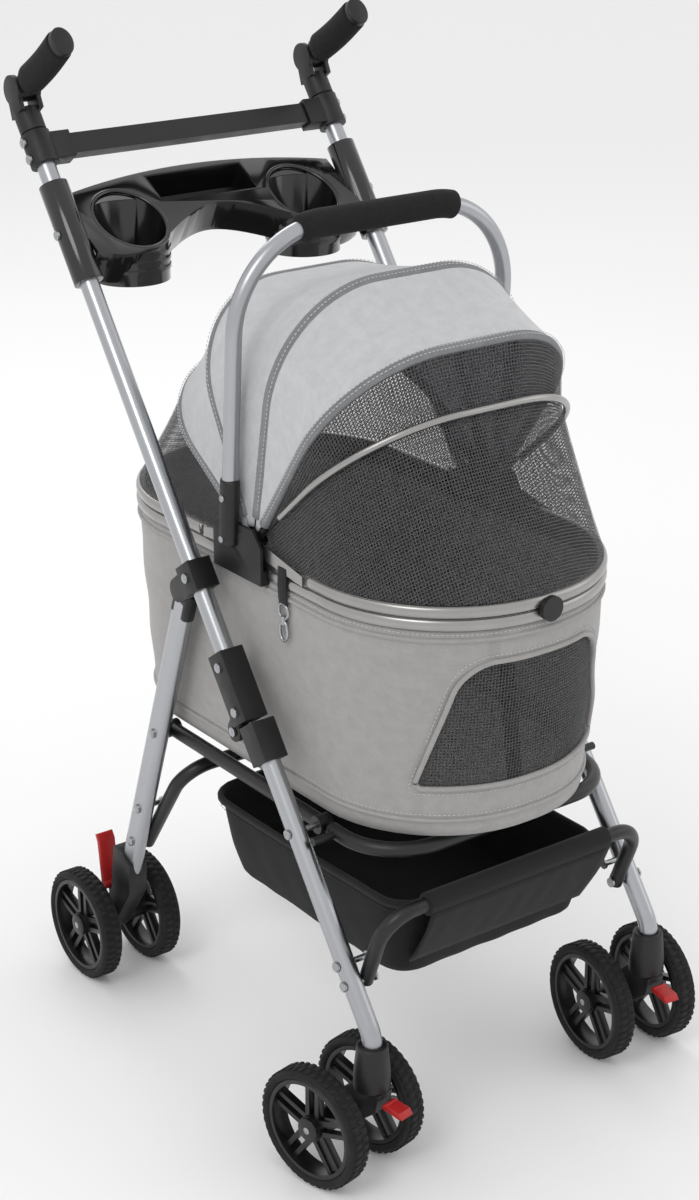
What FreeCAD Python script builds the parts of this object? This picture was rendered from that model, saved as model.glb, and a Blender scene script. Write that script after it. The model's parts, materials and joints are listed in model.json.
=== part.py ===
import FreeCAD, Part
import math
import os
import Sketcher

# Folding pet stroller with a lift-off fabric carrier.
# Millimetres.  +Z is up, the stroller rolls towards -Y, and +X is one side of it.
# The origin is on the floor, in the middle of the footprint.

V = FreeCAD.Vector
doc = FreeCAD.newDocument("PetStroller")
sheet = doc.addObject("Spreadsheet::Sheet", "Sizes")


class Size:
    """A number together with the sheet expression that gives it."""

    def __init__(self, value, text):
        self.value = float(value)
        self.text = text

    def _with(self, other, sign, swap=False):
        other = other if isinstance(other, Size) else Size(other, repr(float(other)))
        a, b = (other, self) if swap else (self, other)
        table = {"+": a.value + b.value, "-": a.value - b.value, "*": a.value * b.value}
        value = a.value / b.value if sign == "/" else table[sign]
        return Size(value, "(%s %s %s)" % (a.text, sign, b.text))

    def __add__(self, other):
        return self._with(other, "+")

    def __radd__(self, other):
        return self._with(other, "+", True)

    def __sub__(self, other):
        return self._with(other, "-")

    def __rsub__(self, other):
        return self._with(other, "-", True)

    def __mul__(self, other):
        return self._with(other, "*")

    def __rmul__(self, other):
        return self._with(other, "*", True)

    def __truediv__(self, other):
        return self._with(other, "/")

    def __neg__(self):
        return self._with(-1, "*")

    def __float__(self):
        return self.value


row = 0


def size(alias, value, note):
    """Put one driving dimension in the sheet and hand it back."""
    global row
    row += 1
    sheet.set("A%d" % row, alias)
    sheet.set("B%d" % row, str(value))
    sheet.set("C%d" % row, note)
    sheet.setAlias("B%d" % row, alias)
    return Size(value, "Sizes." + alias)


# ---- driving dimensions -------------------------------------------------------------------
gap = size("clearance", 0.5, "gap left between pieces that move past each other")
seat = size("tube_seat", 0.1, "radial gap between a tube and the moulding clamped on it")
frame_half = size("frame_half", 177, "centre of a side tube from the middle plane")
lean = size("lean_angle", 36, "side tubes lean this far back from upright, degrees")
tube_r = size("tube_radius", 9.7, "outer radius of the aluminium side tubes")
tube_wall = size("tube_wall", 1.5, "wall of every aluminium tube")
hoop_r = size("hoop_radius", 7.5, "outer radius of the black steel hoops")
hoop_wall = size("hoop_wall", 1.2, "wall of the black steel hoops")
rivet_r = size("rivet_radius", 3, "shank of the frame rivets")
head_r = size("rivet_head", 5, "head of the frame rivets and screws")

fold_back = size("fold_back", -57, "fold pivot, Y")
fold_up = size("fold_height", 395, "fold pivot, Z")
push_set = size("push_offset", 26, "push tube axis lies this far in front of the fold pivot")
leg_set = size("leg_offset", 35, "front leg axis lies this far in front of the fold pivot")
push_long = size("push_length", 636, "from the fold pivot to the top of the push tube, along it")
knuckle_up = size("knuckle_upper", 74, "length of the upper fold knuckle")
knuckle_down = size("knuckle_lower", 42, "length of the lower fold knuckle")
block_half = size("knuckle_half", 13, "half thickness of the fold knuckles")

wheel_r = size("wheel_radius", 62, "outer radius of every wheel")
tyre_w = size("tyre_width", 24, "width of every tyre")
tyre_deep = size("tyre_depth", 10, "tread to rim, of every tyre")
axle_r = size("axle_radius", 4, "wheel axles")
hub_r = size("hub_radius", 13, "wheel hubs")
caster_back = size("caster_front", -272, "caster swivel axis, Y")
caster_top = size("caster_top", 150, "top of the caster housing")
caster_low = size("caster_split", 104, "housing above, fork below")
trail = size("caster_trail", 37.5, "wheel axis behind the swivel axis")
front_gap = size("front_wheel_gap", 39.5, "front wheel middle from the fork's middle")
turn_left = size("caster_turn_left", 11, "left caster turned about the swivel axis, degrees")
turn_right = size("caster_turn_right", -5, "right caster turned about the swivel axis, degrees")

rear_in = size("rear_leg_inset", 13.5, "rear leg centre inside the side tube's centre")
rear_gap = size("rear_wheel_gap", 37.6, "rear wheel middle from the rear leg's middle")
rear_axle = size("rear_axle_back", 221, "rear axle, Y")
hinge_along = size("rear_hinge_along", 153, "rear leg hinge, along the push tube from the fold pivot")
hinge_set = size("rear_hinge_offset", 22, "rear leg hinge, behind the fold pivot's line")
leg_deep = size("rear_leg_depth", 28, "rear leg section, front to back")
leg_wide = size("rear_leg_width", 14, "rear leg section, side to side")
foot_back = size("rear_foot_back", 187, "foot of the rear leg, Y")
foot_up = size("rear_foot_height", 122, "foot of the rear leg, Z")
link_in = size("link_inset", 30, "side link centre inside the side tube's centre")
link_up = size("link_height", 324, "side links, Z")

tray_below = size("tray_below", 170, "lower end of the tray sleeve, below the top of the push tube")
tray_long = size("tray_sleeve", 106, "length of a tray sleeve")
tray_tilt = size("tray_tilt", 30, "slope of the tray's deck, degrees")
cup_r = size("cup_radius", 37, "bore of the cup wells")
cup_in = size("cup_inset", 70, "cup well inside the side tube's centre")
cup_deep = size("cup_depth", 62, "depth of the cup wells")
cup_wall = size("cup_wall", 2.5, "wall of the cup wells")
tee_below = size("tee_below", 42, "lower end of the handle tee, below the top of the push tube")
tee_long = size("tee_length", 34, "length of the handle tee")
bar_high = size("crossbar_height", 22, "height of the crossbar")
bar_deep = size("crossbar_depth", 14, "depth of the crossbar")
grip_long = size("grip_length", 105, "hinge to the end of a grip")
grip_rise = size("grip_rise", 34, "grip's slope above level, degrees")
grip_wide = size("grip_width", 26, "foam grip, side to side")
grip_deep = size("grip_depth", 32, "foam grip, top to bottom")

ring_y = size("ring_middle", -17.5, "middle of the carrier, Y")
ring_in = size("ring_inset", 28, "carrier's ring inside the side tube's centre")
ring_long = size("ring_half_length", 281, "half length of the carrier's ring")
ring_up = size("ring_height", 560.5, "joint between the lower and upper ring")
ring_deep = size("ring_depth", 12, "height of each ring")
ring_wall = size("ring_wall", 6, "ring, inside to outside")
tub_low = size("tub_bottom", 335.5, "underside of the carrier's tub")
tub_in = size("tub_taper", 16, "tub narrows this much from ring to base")
tub_wall = size("tub_wall", 4, "padded wall of the tub")
bow_back = size("bow_pivot_back", -46, "canopy bow pivot, Y")
bow_up = size("bow_pivot_height", 580, "canopy bow pivot, Z")
bow_r = size("bow_radius", 3.5, "radius of a canopy bow")
bow_set = size("bow_inset", 2.8, "side of a canopy bow inside the ring's outer face")
panel_t = size("panel_thickness", 1.6, "thickness of the canopy cloth")
carry_back = size("carry_pivot_back", -22, "carry handle pivot, Y")
carry_set = size("carry_offset", 12.2, "carry handle tube outside the ring's outer face")
carry_high = size("carry_height", 296, "carry handle, pivot to crown")
carry_r = size("carry_radius", 8, "radius of the carry handle tube")
foam_r = size("carry_foam_radius", 14, "radius of the carry handle's foam")

hoop_low = size("front_hoop_height", 205, "front hoop's rivets, Z")
hoop_bar = size("front_hoop_bar", 277, "front hoop's cross tube, Z")
hoop_out = size("front_hoop_reach", 31, "front hoop's cross tube in front of its rivets")
basket_low = size("basket_bottom", 180, "underside of the basket")
basket_in = size("basket_inset", 49, "side of the basket inside the side tube's centre")
basket_wall = size("basket_wall", 3, "cloth wall of the basket")
basket_top = size("basket_rim", 266, "rim of the basket, Z")
basket_front = size("basket_front", -249, "front of the basket, Y")
basket_rear = size("basket_rear", 76, "rear of the basket, Y")
basket_slope = size("basket_slope", 22, "the basket's rear leans in this much from rim to base")
hoop_share_high = size("rear_hoop_share_high", 0.74, "rear hoop's upper rivet, share of the rear leg")
hoop_share_low = size("rear_hoop_share_low", 0.86, "rear hoop's lower rivet, share of the rear leg")
rear_bar_back = size("rear_bar_back", 92, "rear hoop's cross tube, Y")
rear_bar_up = size("rear_bar_height", 284, "rear hoop's cross tube, Z")
doc.recompute()

# ---- widths and lengths that follow the side tubes --------------------------------------------
rear_x = frame_half - rear_in
link_x = frame_half - link_in
cup_x = frame_half - cup_in
ring_half = frame_half - ring_in
basket_half = frame_half - basket_in
carry_x = ring_half + carry_set
bow_x = ring_half - bow_set
tray_along = push_long - tray_below
tee_along = push_long - tee_below

# ---- directions and points worked out from the driving dimensions --------------------------
lean_rad = math.radians(lean.value)
UP_TUBE = V(0, math.sin(lean_rad), math.cos(lean_rad))
OFF_TUBE = V(0, math.cos(lean_rad), -math.sin(lean_rad))
FOLD = V(0, fold_back.value, fold_up.value)


def on_tube(along, behind, x=0.0):
    """A point given along the push tube and behind the fold pivot's line."""
    point = FOLD + UP_TUBE * float(along) + OFF_TUBE * float(behind)
    return V(float(x), point.y, point.z)


# ---- document helpers ----------------------------------------------------------------------
finished = []


def bind(thing, **values):
    """Tie properties of a document object to the sheet."""
    for name, value in values.items():
        if isinstance(value, Size):
            thing.setExpression(name.replace("__", "."), value.text)
        else:
            setattr(thing, name, value)
    return thing


def node(thing, name):
    """Give a finished sub-part the name that its file takes."""
    thing.Label = name
    finished.append(thing)
    return thing


def turned(z_axis, base, x_axis=None):
    """Placement whose local Z points along z_axis."""
    z_axis = V(z_axis).normalize()
    if x_axis is None:
        rotation = FreeCAD.Rotation(V(0, 0, 1), z_axis)
    else:
        x_axis = V(x_axis).normalize()
        rotation = FreeCAD.Rotation(x_axis, z_axis.cross(x_axis), z_axis, "ZXY")
    return FreeCAD.Placement(V(base), rotation)


def rod(start, direction, radius, length):
    """Part::Cylinder from a start point."""
    thing = doc.addObject("Part::Cylinder", "Rod")
    thing.Placement = turned(direction, start)
    return bind(thing, Radius=radius, Height=length)


def across(x_low, y, z, radius, length):
    """Cylinder along +X, starting at x_low."""
    return rod(V(float(x_low), float(y), float(z)), V(1, 0, 0), radius, length)


def block(corner, along_x, along_y, along_z, place=None):
    """Part::Box with its corner given in a local frame."""
    thing = doc.addObject("Part::Box", "Block")
    place = place or FreeCAD.Placement()
    thing.Placement = place.multiply(FreeCAD.Placement(V(*[float(c) for c in corner]),
                                                       FreeCAD.Rotation()))
    return bind(thing, Length=along_x, Width=along_y, Height=along_z)


def fuse(*things):
    thing = doc.addObject("Part::MultiFuse", "Fuse")
    thing.Shapes = list(things)
    thing.Refine = True
    return thing


def cut(base, *tools):
    for tool in tools:
        thing = doc.addObject("Part::Cut", "Cut")
        thing.Base, thing.Tool = base, tool
        base = thing
    return base


def group(*things):
    thing = doc.addObject("Part::Compound", "Group")
    thing.Links = list(things)
    return thing


def mirrored(source):
    """The same piece on the other side of the middle plane."""
    thing = doc.addObject("Part::Mirroring", "Mirror")
    thing.Source = source
    thing.Normal = V(1, 0, 0)
    return thing


def both(source):
    return group(source, mirrored(source))


def freeform(shape):
    """Shape that only Part's own functions can make."""
    thing = doc.addObject("Part::Feature", "Freeform")
    thing.Shape = shape
    return thing


def origin_plane(body, role):
    return [feature for feature in body.Origin.OriginFeatures if feature.Role == role][0]


def new_sketch(body, role):
    sketch = body.newObject("Sketcher::SketchObject", "Outline")
    sketch.AttachmentSupport = (origin_plane(body, role), [""])
    sketch.MapMode = "FlatFace"
    return sketch


def outline(sketch, corners):
    """Closed polygon whose corners are tied to the sheet."""
    count = len(corners)
    first = sketch.GeometryCount
    for i, corner in enumerate(corners):
        following = corners[(i + 1) % count]
        sketch.addGeometry(Part.LineSegment(V(float(corner[0]), float(corner[1]), 0),
                                            V(float(following[0]), float(following[1]), 0)))
    for i in range(count):
        sketch.addConstraint(Sketcher.Constraint("Coincident", first + i, 2,
                                                 first + (i + 1) % count, 1))
    for i, corner in enumerate(corners):
        for kind, value in zip(("DistanceX", "DistanceY"), corner):
            index = sketch.addConstraint(Sketcher.Constraint(kind, -1, 1, first + i, 1,
                                                             float(value)))
            if isinstance(value, Size):
                sketch.setExpression("Constraints[%d]" % index, value.text)
    return sketch


def circle(sketch, radius, x=0.0, y=0.0):
    index = sketch.addGeometry(Part.Circle(V(float(x), float(y), 0), V(0, 0, 1), float(radius)))
    for kind, value in (("DistanceX", x), ("DistanceY", y)):
        tie = sketch.addConstraint(Sketcher.Constraint(kind, -1, 1, index, 3, float(value)))
        if isinstance(value, Size):
            sketch.setExpression("Constraints[%d]" % tie, value.text)
    tie = sketch.addConstraint(Sketcher.Constraint("Radius", index, float(radius)))
    if isinstance(radius, Size):
        sketch.setExpression("Constraints[%d]" % tie, radius.text)
    return index


def padded(corners, thickness, place, holes=()):
    """PartDesign pad of an outline, centred on its sketch plane."""
    body = doc.addObject("PartDesign::Body", "Body")
    sketch = new_sketch(body, "XY_Plane")
    outline(sketch, corners)
    for x, y, radius in holes:
        circle(sketch, radius, x, y)
    pad = body.newObject("PartDesign::Pad", "Pad")
    pad.Profile = sketch
    pad.Midplane = True
    bind(pad, Length=thickness)
    body.Placement = place
    return body


def spun(corners, place=None):
    """PartDesign revolution of an outline about its own Y axis, full circle."""
    body = doc.addObject("PartDesign::Body", "Body")
    sketch = new_sketch(body, "XY_Plane")
    outline(sketch, corners)
    turn = body.newObject("PartDesign::Revolution", "Revolution")
    turn.Profile = sketch
    turn.ReferenceAxis = (sketch, ["V_Axis"])
    turn.Angle = 360
    if place:
        body.Placement = place
    return body


def rounded_route(points, bend):
    """Edges of a planar polyline with every inner corner rounded to the bend radius."""
    points = [V(*p) for p in points]
    edges = []
    last = points[0]
    for before, corner, after in zip(points, points[1:], points[2:]):
        a = (before - corner).normalize()
        b = (after - corner).normalize()
        half = a.getAngle(b) / 2
        back = bend / math.tan(half)
        begin, finish = corner + a * back, corner + b * back
        middle = (a + b).normalize()
        centre = corner + middle * (bend / math.sin(half))
        edges.append(Part.LineSegment(last, begin))
        edges.append(Part.Arc(begin, centre - middle * bend, finish))
        last = finish
    edges.append(Part.LineSegment(last, points[-1]))
    return edges


def bent_tube(points, bend, radius, wall, place):
    """PartDesign pipe: a tube that starts at its local origin along +Y and bends in local XY."""
    body = doc.addObject("PartDesign::Body", "Body")
    route = new_sketch(body, "XY_Plane")
    for edge in rounded_route([(float(x), float(y), 0) for x, y in points], float(bend)):
        route.addGeometry(edge)
    section = new_sketch(body, "XZ_Plane")
    circle(section, radius)
    if wall:
        circle(section, radius - wall)
    doc.recompute()
    pipe = body.newObject("PartDesign::AdditivePipe", "Pipe")
    pipe.Profile = section
    pipe.Spine = (route, [])
    body.Placement = place
    return body


def side_frame(along, behind, x):
    """Local X runs away from the tubes' front, local Y up the tube, local Z along +X."""
    return FreeCAD.Placement(on_tube(along, behind, x),
                             FreeCAD.Rotation(OFF_TUBE, UP_TUBE, V(1, 0, 0), "ZXY"))


def level_frame(x, y, z):
    """Local X along +Y, local Y along +Z, local Z along +X."""
    return FreeCAD.Placement(V(float(x), float(y), float(z)),
                             FreeCAD.Rotation(V(0, 1, 0), V(0, 0, 1), V(1, 0, 0), "ZXY"))


HEAD = 2.0      # thickness of a rivet or screw head
RUN = 0.08      # radial clearance of a pin that turns in its hole
inner_face = frame_half - block_half
outer_face = frame_half + block_half


def rivet(y, z, x_low, x_high, inner_head=True):
    """Shank along X with a head past its outer end and, as a rule, past its inner one."""
    parts = [across(x_low, y, z, rivet_r, x_high - x_low), across(x_high, y, z, head_r, HEAD)]
    if inner_head:
        parts.append(across(x_low - HEAD, y, z, head_r, HEAD))
    return fuse(*parts)


# ---- front frame: legs, lower knuckles, hoops, caster housings --------------------------------
leg_top = on_tube(-4, -leg_set, frame_half)
leg_run = (leg_top.y - caster_back.value) / math.sin(lean_rad)
leg_bend = leg_top - UP_TUBE * leg_run
leg_end = caster_low.value + 9
LEG_BEND_R = 30
drop = leg_bend.z - leg_end


def leg_y(z):
    """Y of the front leg's axis at a height above its bend."""
    return leg_top.y - (leg_top.z - float(z)) * math.tan(lean_rad)


leg_place = FreeCAD.Placement(leg_top, FreeCAD.Rotation(-OFF_TUBE, -UP_TUBE, V(1, 0, 0), "ZXY"))
leg_route = [(0, 0), (0, leg_run), (-drop * math.sin(lean_rad), leg_run + drop * math.cos(lean_rad))]
front_leg = bent_tube(leg_route, LEG_BEND_R, tube_r, tube_wall, leg_place)
leg_rivets = [(leg_y(hoop_low + 12), hoop_low + 12), (leg_y(hoop_low - 4), hoop_low - 4)]
link_pin = (leg_y(link_up), link_up)
leg_holes = [across(frame_half - 20, y, z, rivet_r, 40) for y, z in leg_rivets + [link_pin]]
node(both(cut(front_leg, *leg_holes)), "front_legs")


def knuckle(centre_set, low, high, lug_low):
    """Clamp on a tube with a lug that reaches back to the fold pivot."""
    front, back = -centre_set - block_half, -centre_set + block_half
    clamp = padded([(front, low), (back, low), (back, high), (front, high)], block_half * 2,
                   side_frame(0, 0, frame_half))
    bore = rod(on_tube(float(low) - 5, -centre_set, frame_half), UP_TUBE, tube_r + seat,
               high - low + 10)
    lug_x = frame_half - 6.5 if lug_low else frame_half + gap
    mid = frame_half.value + (-3.5 if lug_low else 3.5)
    sign = -1 if lug_low else 1
    ends = [(back - 3, sign * 20), (back - 3, sign * 1.5), (0, sign * 1.5), (9, sign * 4), (6, sign * 9)]
    if sign > 0:
        ends = ends[::-1]
    lug = padded(ends, 6, side_frame(0, 0, mid))
    eye = across(lug_x, fold_back, fold_up, 10.5, 6)
    pin_hole = across(lug_x - 4, fold_back, fold_up, rivet_r + RUN, 20)
    return cut(fuse(clamp, lug, eye), bore, pin_hole)


node(both(knuckle(leg_set, -knuckle_down, Size(-2, "-2"), True)), "lower_knuckles")

hoop_x = frame_half - tube_r - hoop_r - 0.3
hoop_start = V(hoop_x.value, leg_y(hoop_low), hoop_low.value - 8)
hoop_rise = V(0, -hoop_out.value, hoop_bar.value - hoop_start.z)
hoop_place = FreeCAD.Placement(hoop_start, FreeCAD.Rotation(V(-1, 0, 0), hoop_rise,
                                                            V(-1, 0, 0).cross(hoop_rise), "ZXY"))
rise = hoop_rise.Length
HOOP_BEND = 34
front_hoop = bent_tube([(0, 0), (0, rise), (hoop_x * 2, rise), (hoop_x * 2, 0)], HOOP_BEND, hoop_r,
                       hoop_wall, hoop_place)
hoop_holes = [across(-200, y, z, rivet_r, 400) for y, z in leg_rivets]
node(cut(front_hoop, *hoop_holes), "front_hoop")

SUPPORT_REACH = 82
SUPPORT_BEND = 62
support_start = V(link_x.value, link_pin[0] - 16, link_up.value)
support_place = FreeCAD.Placement(support_start, FreeCAD.Rotation(V(-1, 0, 0), V(0, -1, 0),
                                                                  V(0, 0, 1), "ZXY"))
support = bent_tube([(0, 0), (0, SUPPORT_REACH), (link_x * 2, SUPPORT_REACH), (link_x * 2, 0)],
                    SUPPORT_BEND, hoop_r, hoop_wall, support_place)
stay_y = support_start.y - 10
stay = across(link_x + hoop_r - 1, stay_y, link_up, 4, frame_half - link_x - hoop_r + 1)
leg_clear = rod(leg_bend, UP_TUBE, tube_r + seat, leg_run)
node(cut(fuse(support, both(stay)), leg_clear, mirrored(leg_clear)), "support_hoop")

STEM_R = 5
housing = spun([(0, 0), (18, 0), (18, 16), (15, caster_top - caster_low), (0, caster_top - caster_low)],
               FreeCAD.Placement(V(frame_half.value, caster_back.value, caster_low.value),
                                 FreeCAD.Rotation(V(1, 0, 0), 90)))
leg_socket = rod(V(frame_half.value, caster_back.value, leg_end), V(0, 0, 1), tube_r + seat, 80)
lean_clear = rod(leg_bend, UP_TUBE, tube_r + 0.6, 60)
stem_hole = rod(V(frame_half.value, caster_back.value, caster_low.value - 1), V(0, 0, 1),
                STEM_R + RUN, 8)
node(both(cut(housing, leg_socket, lean_clear, stem_hole)), "caster_housings")

root_rivets = [rivet(y, z, hoop_x - hoop_r, frame_half + tube_r) for y, z in leg_rivets]
root_rivets.append(rivet(link_pin[0], link_pin[1], link_x - hoop_r + 2, frame_half + tube_r, False))
root_rivets.append(rivet(fold_back, fold_up, frame_half - 7, frame_half + 7))
node(both(group(*root_rivets)), "frame_rivets")

# ---- push handle: tubes, upper knuckles, brackets, tray, tees, crossbar, clevises ----------------
TUBE_START = 4
push_tube = cut(rod(on_tube(TUBE_START, -push_set, frame_half), UP_TUBE, tube_r, push_long - TUBE_START),
                rod(on_tube(0, -push_set, frame_half), UP_TUBE, tube_r - tube_wall, push_long + 10))
node(both(push_tube), "push_tubes")
upper_knuckle = knuckle(push_set, Size(2, "2"), knuckle_up, False)

rear_hinge = on_tube(hinge_along, hinge_set, rear_x)
EAR = 6
ear_x = rear_x + leg_wide / 2 + gap
bracket_low, bracket_high = hinge_along - 16, hinge_along + 14
front, back = -push_set - block_half, -push_set + block_half
clamp = padded([(front, bracket_low), (back, bracket_low), (back, bracket_high), (front, bracket_high)],
               block_half * 2, side_frame(0, 0, frame_half))
ear = padded([(back - 2, bracket_low), (hinge_set + 2, hinge_along - 12), (hinge_set + 2, hinge_along + 12),
              (back - 2, bracket_high)], EAR, side_frame(0, 0, ear_x.value + EAR / 2))
ear_eye = across(ear_x, rear_hinge.y, rear_hinge.z, 12, EAR)
ear_pin = across(rear_x - leg_wide / 2 - 1, rear_hinge.y, rear_hinge.z, rivet_r,
                 ear_x - rear_x + leg_wide / 2 + 2)
ear_head = across(rear_x - leg_wide / 2 - 2.6, rear_hinge.y, rear_hinge.z, head_r, 2)
tube_path = rod(on_tube(TUBE_START, -push_set, frame_half), UP_TUBE, tube_r + seat, push_long)
leg_bracket = fuse(cut(fuse(clamp, ear, ear_eye), tube_path), ear_pin, ear_head)
node(both(group(upper_knuckle, leg_bracket)), "push_tube_clamps")

# tray: sloping deck, two upright cup wells, a shallow middle tray and a sleeve on each tube
sleeve = rod(on_tube(tray_along, -push_set, frame_half), UP_TUBE, 15, tray_long)
tray_middle = on_tube(tray_along + tray_long * 0.59, -push_set)
DECK = 5
SKIRT = 38
deck_place = FreeCAD.Placement(tray_middle, FreeCAD.Rotation(V(1, 0, 0), tray_tilt.value))
half = frame_half.value - 12


cup_front = -cup_r.value - 12
# distance from the middle plane and Y of the deck's front edge, which bulges round the wells
FORE = [(half, cup_front + 6), (cup_x.value, cup_front), (cup_x.value - cup_r.value - 4, cup_front * 0.55),
        (0, 0)]


def deck_outline(grow, height, base):
    """Arched outline, bowed towards the rider, drawn in the deck's own plane."""
    rear = Part.Arc(V(-half, 40 + grow, 0), V(0, 62 + grow, 0), V(half, 40 + grow, 0)).toShape()
    curve = Part.BSplineCurve()
    curve.interpolate([V(x, y - grow, 0) for x, y in FORE] + [V(-x, y - grow, 0) for x, y in FORE[-2::-1]])
    fore = curve.toShape()
    side_y = FORE[0][1] - grow
    sides = [Part.makeLine(V(half, 40 + grow, 0), V(half, side_y, 0)),
             Part.makeLine(V(-half, side_y, 0), V(-half, 40 + grow, 0))]
    wire = Part.Wire([rear, sides[0], fore, sides[1]])
    solid = Part.Face(wire).extrude(V(0, 0, height))
    solid.translate(V(0, 0, base))
    return solid


deck_shape = deck_outline(0, SKIRT, -SKIRT).cut(deck_outline(-3, SKIRT, -SKIRT - DECK))
TRAY_WALL = 2.5
well_half = cup_x.value - cup_r.value - 10
well_box = Part.makeBox(well_half * 2, 44, 40, V(-well_half, 10, -34))
well_core = Part.makeBox((well_half - TRAY_WALL) * 2, 39, 40, V(TRAY_WALL - well_half, 12.5, -31.5))
above_deck = Part.makeBox(well_half * 4, 90, 60, V(-well_half * 2, -20, 0))
deck = freeform(deck_shape.fuse(well_box).cut(well_core).cut(above_deck))
deck.Placement = deck_place
cup_axis = deck_place.multVec(V(0, -3, 0))
cup_floor = cup_axis.z - cup_deep.value
wells, cores = [], []
for side in (-1, 1):
    middle = V(side * cup_x.value, cup_axis.y, 0)
    wells.append(rod(V(middle.x, middle.y, cup_floor), V(0, 0, 1), cup_r + cup_wall, cup_deep + 10))
    for step in range(3):
        wells.append(rod(V(middle.x, middle.y, cup_floor + 12 + 9 * step), V(0, 0, 1),
                         cup_r + cup_wall + 1.2, 4))
    cores.append(rod(V(middle.x, middle.y, cup_floor + cup_wall.value), V(0, 0, 1), cup_r, 120))
top_trim = block((-200, -90, 0), 400, 180, 120, deck_place)
sleeve_bore = rod(on_tube(TUBE_START, -push_set, frame_half), UP_TUBE, tube_r + seat, push_long)
tray = fuse(cut(fuse(deck, *wells), top_trim), both(sleeve))
node(cut(tray, *cores, sleeve_bore, mirrored(sleeve_bore)), "parent_tray")

TEE_R = 15
tee = rod(on_tube(tee_along, -push_set, frame_half), UP_TUBE, TEE_R, tee_long)
bar_middle = tee_along + tee_long / 2
socket_long = 22
bar_frame = side_frame(bar_middle, -push_set, 0)
socket = block((-bar_deep.value / 2 - 3, -bar_high.value / 2 - 3, frame_half.value - TEE_R - socket_long + 4),
               bar_deep + 6, bar_high + 6, socket_long, bar_frame)
bar_half = frame_half - TEE_R - 2
bar = block((-bar_deep.value / 2, -bar_high.value / 2, -bar_half.value), bar_deep, bar_high, bar_half * 2,
            bar_frame)
bar_space = block((-bar_deep.value / 2 - 0.1, -bar_high.value / 2 - 0.1, -bar_half.value - 1), bar_deep + 0.2,
                  bar_high + 0.2, bar_half * 2 + 2, bar_frame)
node(both(cut(fuse(tee, socket), tube_path, bar_space)), "handle_tees")
node(bar, "crossbar")

grip_hinge = on_tube(push_long + 38, -push_set - 8, frame_half)
grip_rad = math.radians(grip_rise.value)
GRIP_DIR = V(0, -math.cos(grip_rad), math.sin(grip_rad))
collar = rod(on_tube(push_long - 6, -push_set, frame_half), UP_TUBE, 13.5, 24)
collar_bore = rod(on_tube(push_long - 30, -push_set, frame_half), UP_TUBE, tube_r + seat, 30.2)
CHEEK = 5
cheeks = []
for inner in (-13, 8):
    cheeks.append(across(frame_half + inner, grip_hinge.y, grip_hinge.z, 15, CHEEK))
    cheeks.append(padded([(-push_set - 14, push_long + 14), (-push_set + 10, push_long + 14),
                          (-push_set + 3, push_long + 36), (-push_set - 18, push_long + 36)], CHEEK,
                         side_frame(0, 0, frame_half.value + inner + CHEEK / 2)))
clevis_pin = across(frame_half - 13, grip_hinge.y, grip_hinge.z, rivet_r, 26)
node(both(cut(fuse(collar, *cheeks, clevis_pin), collar_bore)), "grip_sockets")

handle_screws = []
for along in (hinge_along, tray_along + tray_long / 2, tee_along + 8, tee_along + tee_long - 8,
              Size(14, "14"), knuckle_up - 14):
    reach = TEE_R if along.value > hinge_along.value + 1 else block_half.value
    spot = on_tube(along, -push_set)
    handle_screws.append(across(frame_half + reach, spot.y, spot.z, head_r, HEAD))
node(both(group(*handle_screws)), "handle_screws")

LATCH_ALONG, LATCH_SET = 22, 3
latch_pin = on_tube(LATCH_ALONG, -LATCH_SET, frame_half)
latch_body = padded([(-6, -6), (4, -6), (8, 20), (5, 44), (-3, 44), (-6, 20)], 8,
                    side_frame(LATCH_ALONG, -LATCH_SET, frame_half.value - 6))
node(cut(latch_body, across(frame_half - 14, latch_pin.y, latch_pin.z, 2, 30)), "knuckle_latch_right")
node(mirrored(finished[-1]), "knuckle_latch_left")

grip_frame = FreeCAD.Placement(grip_hinge, FreeCAD.Rotation(V(1, 0, 0), V(1, 0, 0).cross(GRIP_DIR) * -1,
                                                            GRIP_DIR, "ZXY"))
tongue = cut(fuse(across(frame_half - 7.5, grip_hinge.y, grip_hinge.z, 13, 15),
                  block((-7.5, -8, 0), 15, 16, 26, grip_frame)),
             across(frame_half - 20, grip_hinge.y, grip_hinge.z, rivet_r + RUN, 40))
foam_start, cap_long = 18, 5


def oval(inset, start, length):
    """Oval bar on the grip's axis."""
    rim = Part.Ellipse(V(0, 0, 0), grip_deep.value / 2 - inset, grip_wide.value / 2 - inset).toShape()
    bar = freeform(Part.Face(Part.Wire(rim)).extrude(V(0, 0, length)))
    bar.Placement = grip_frame.multiply(FreeCAD.Placement(V(0, 0, start), FreeCAD.Rotation(V(0, 0, 1), 90)))
    return bar


foam_base = oval(0, foam_start, grip_long.value - foam_start - cap_long)
cap = oval(1, grip_long.value - cap_long, cap_long)
node(fuse(tongue, foam_base, cap), "grip_right")
node(mirrored(finished[-1]), "grip_left")

# ---- rear legs ----------------------------------------------------------------------------------
foot = V(rear_x.value, foot_back.value, foot_up.value)
leg_dir = (foot - rear_hinge).normalize()
leg_len = (foot - rear_hinge).Length
leg_side = V(1, 0, 0)
LEG_START = 16


def obround(grow, start, length):
    """Flat-sided tube section run along the rear leg."""
    radius = leg_wide / 2 + grow
    spread = leg_deep.value / 2 - leg_wide.value / 2
    fore = leg_dir.cross(leg_side)
    base = rear_hinge + leg_dir * start
    box = block((-radius.value, -spread, 0), radius * 2, leg_deep - leg_wide, length,
                FreeCAD.Placement(base, FreeCAD.Rotation(leg_side, fore * -1, leg_dir, "ZXY")))
    return fuse(box, rod(base + fore * spread, leg_dir, radius, length),
                rod(base - fore * spread, leg_dir, radius, length))


def on_leg(distance):
    return rear_hinge + leg_dir * distance


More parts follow.
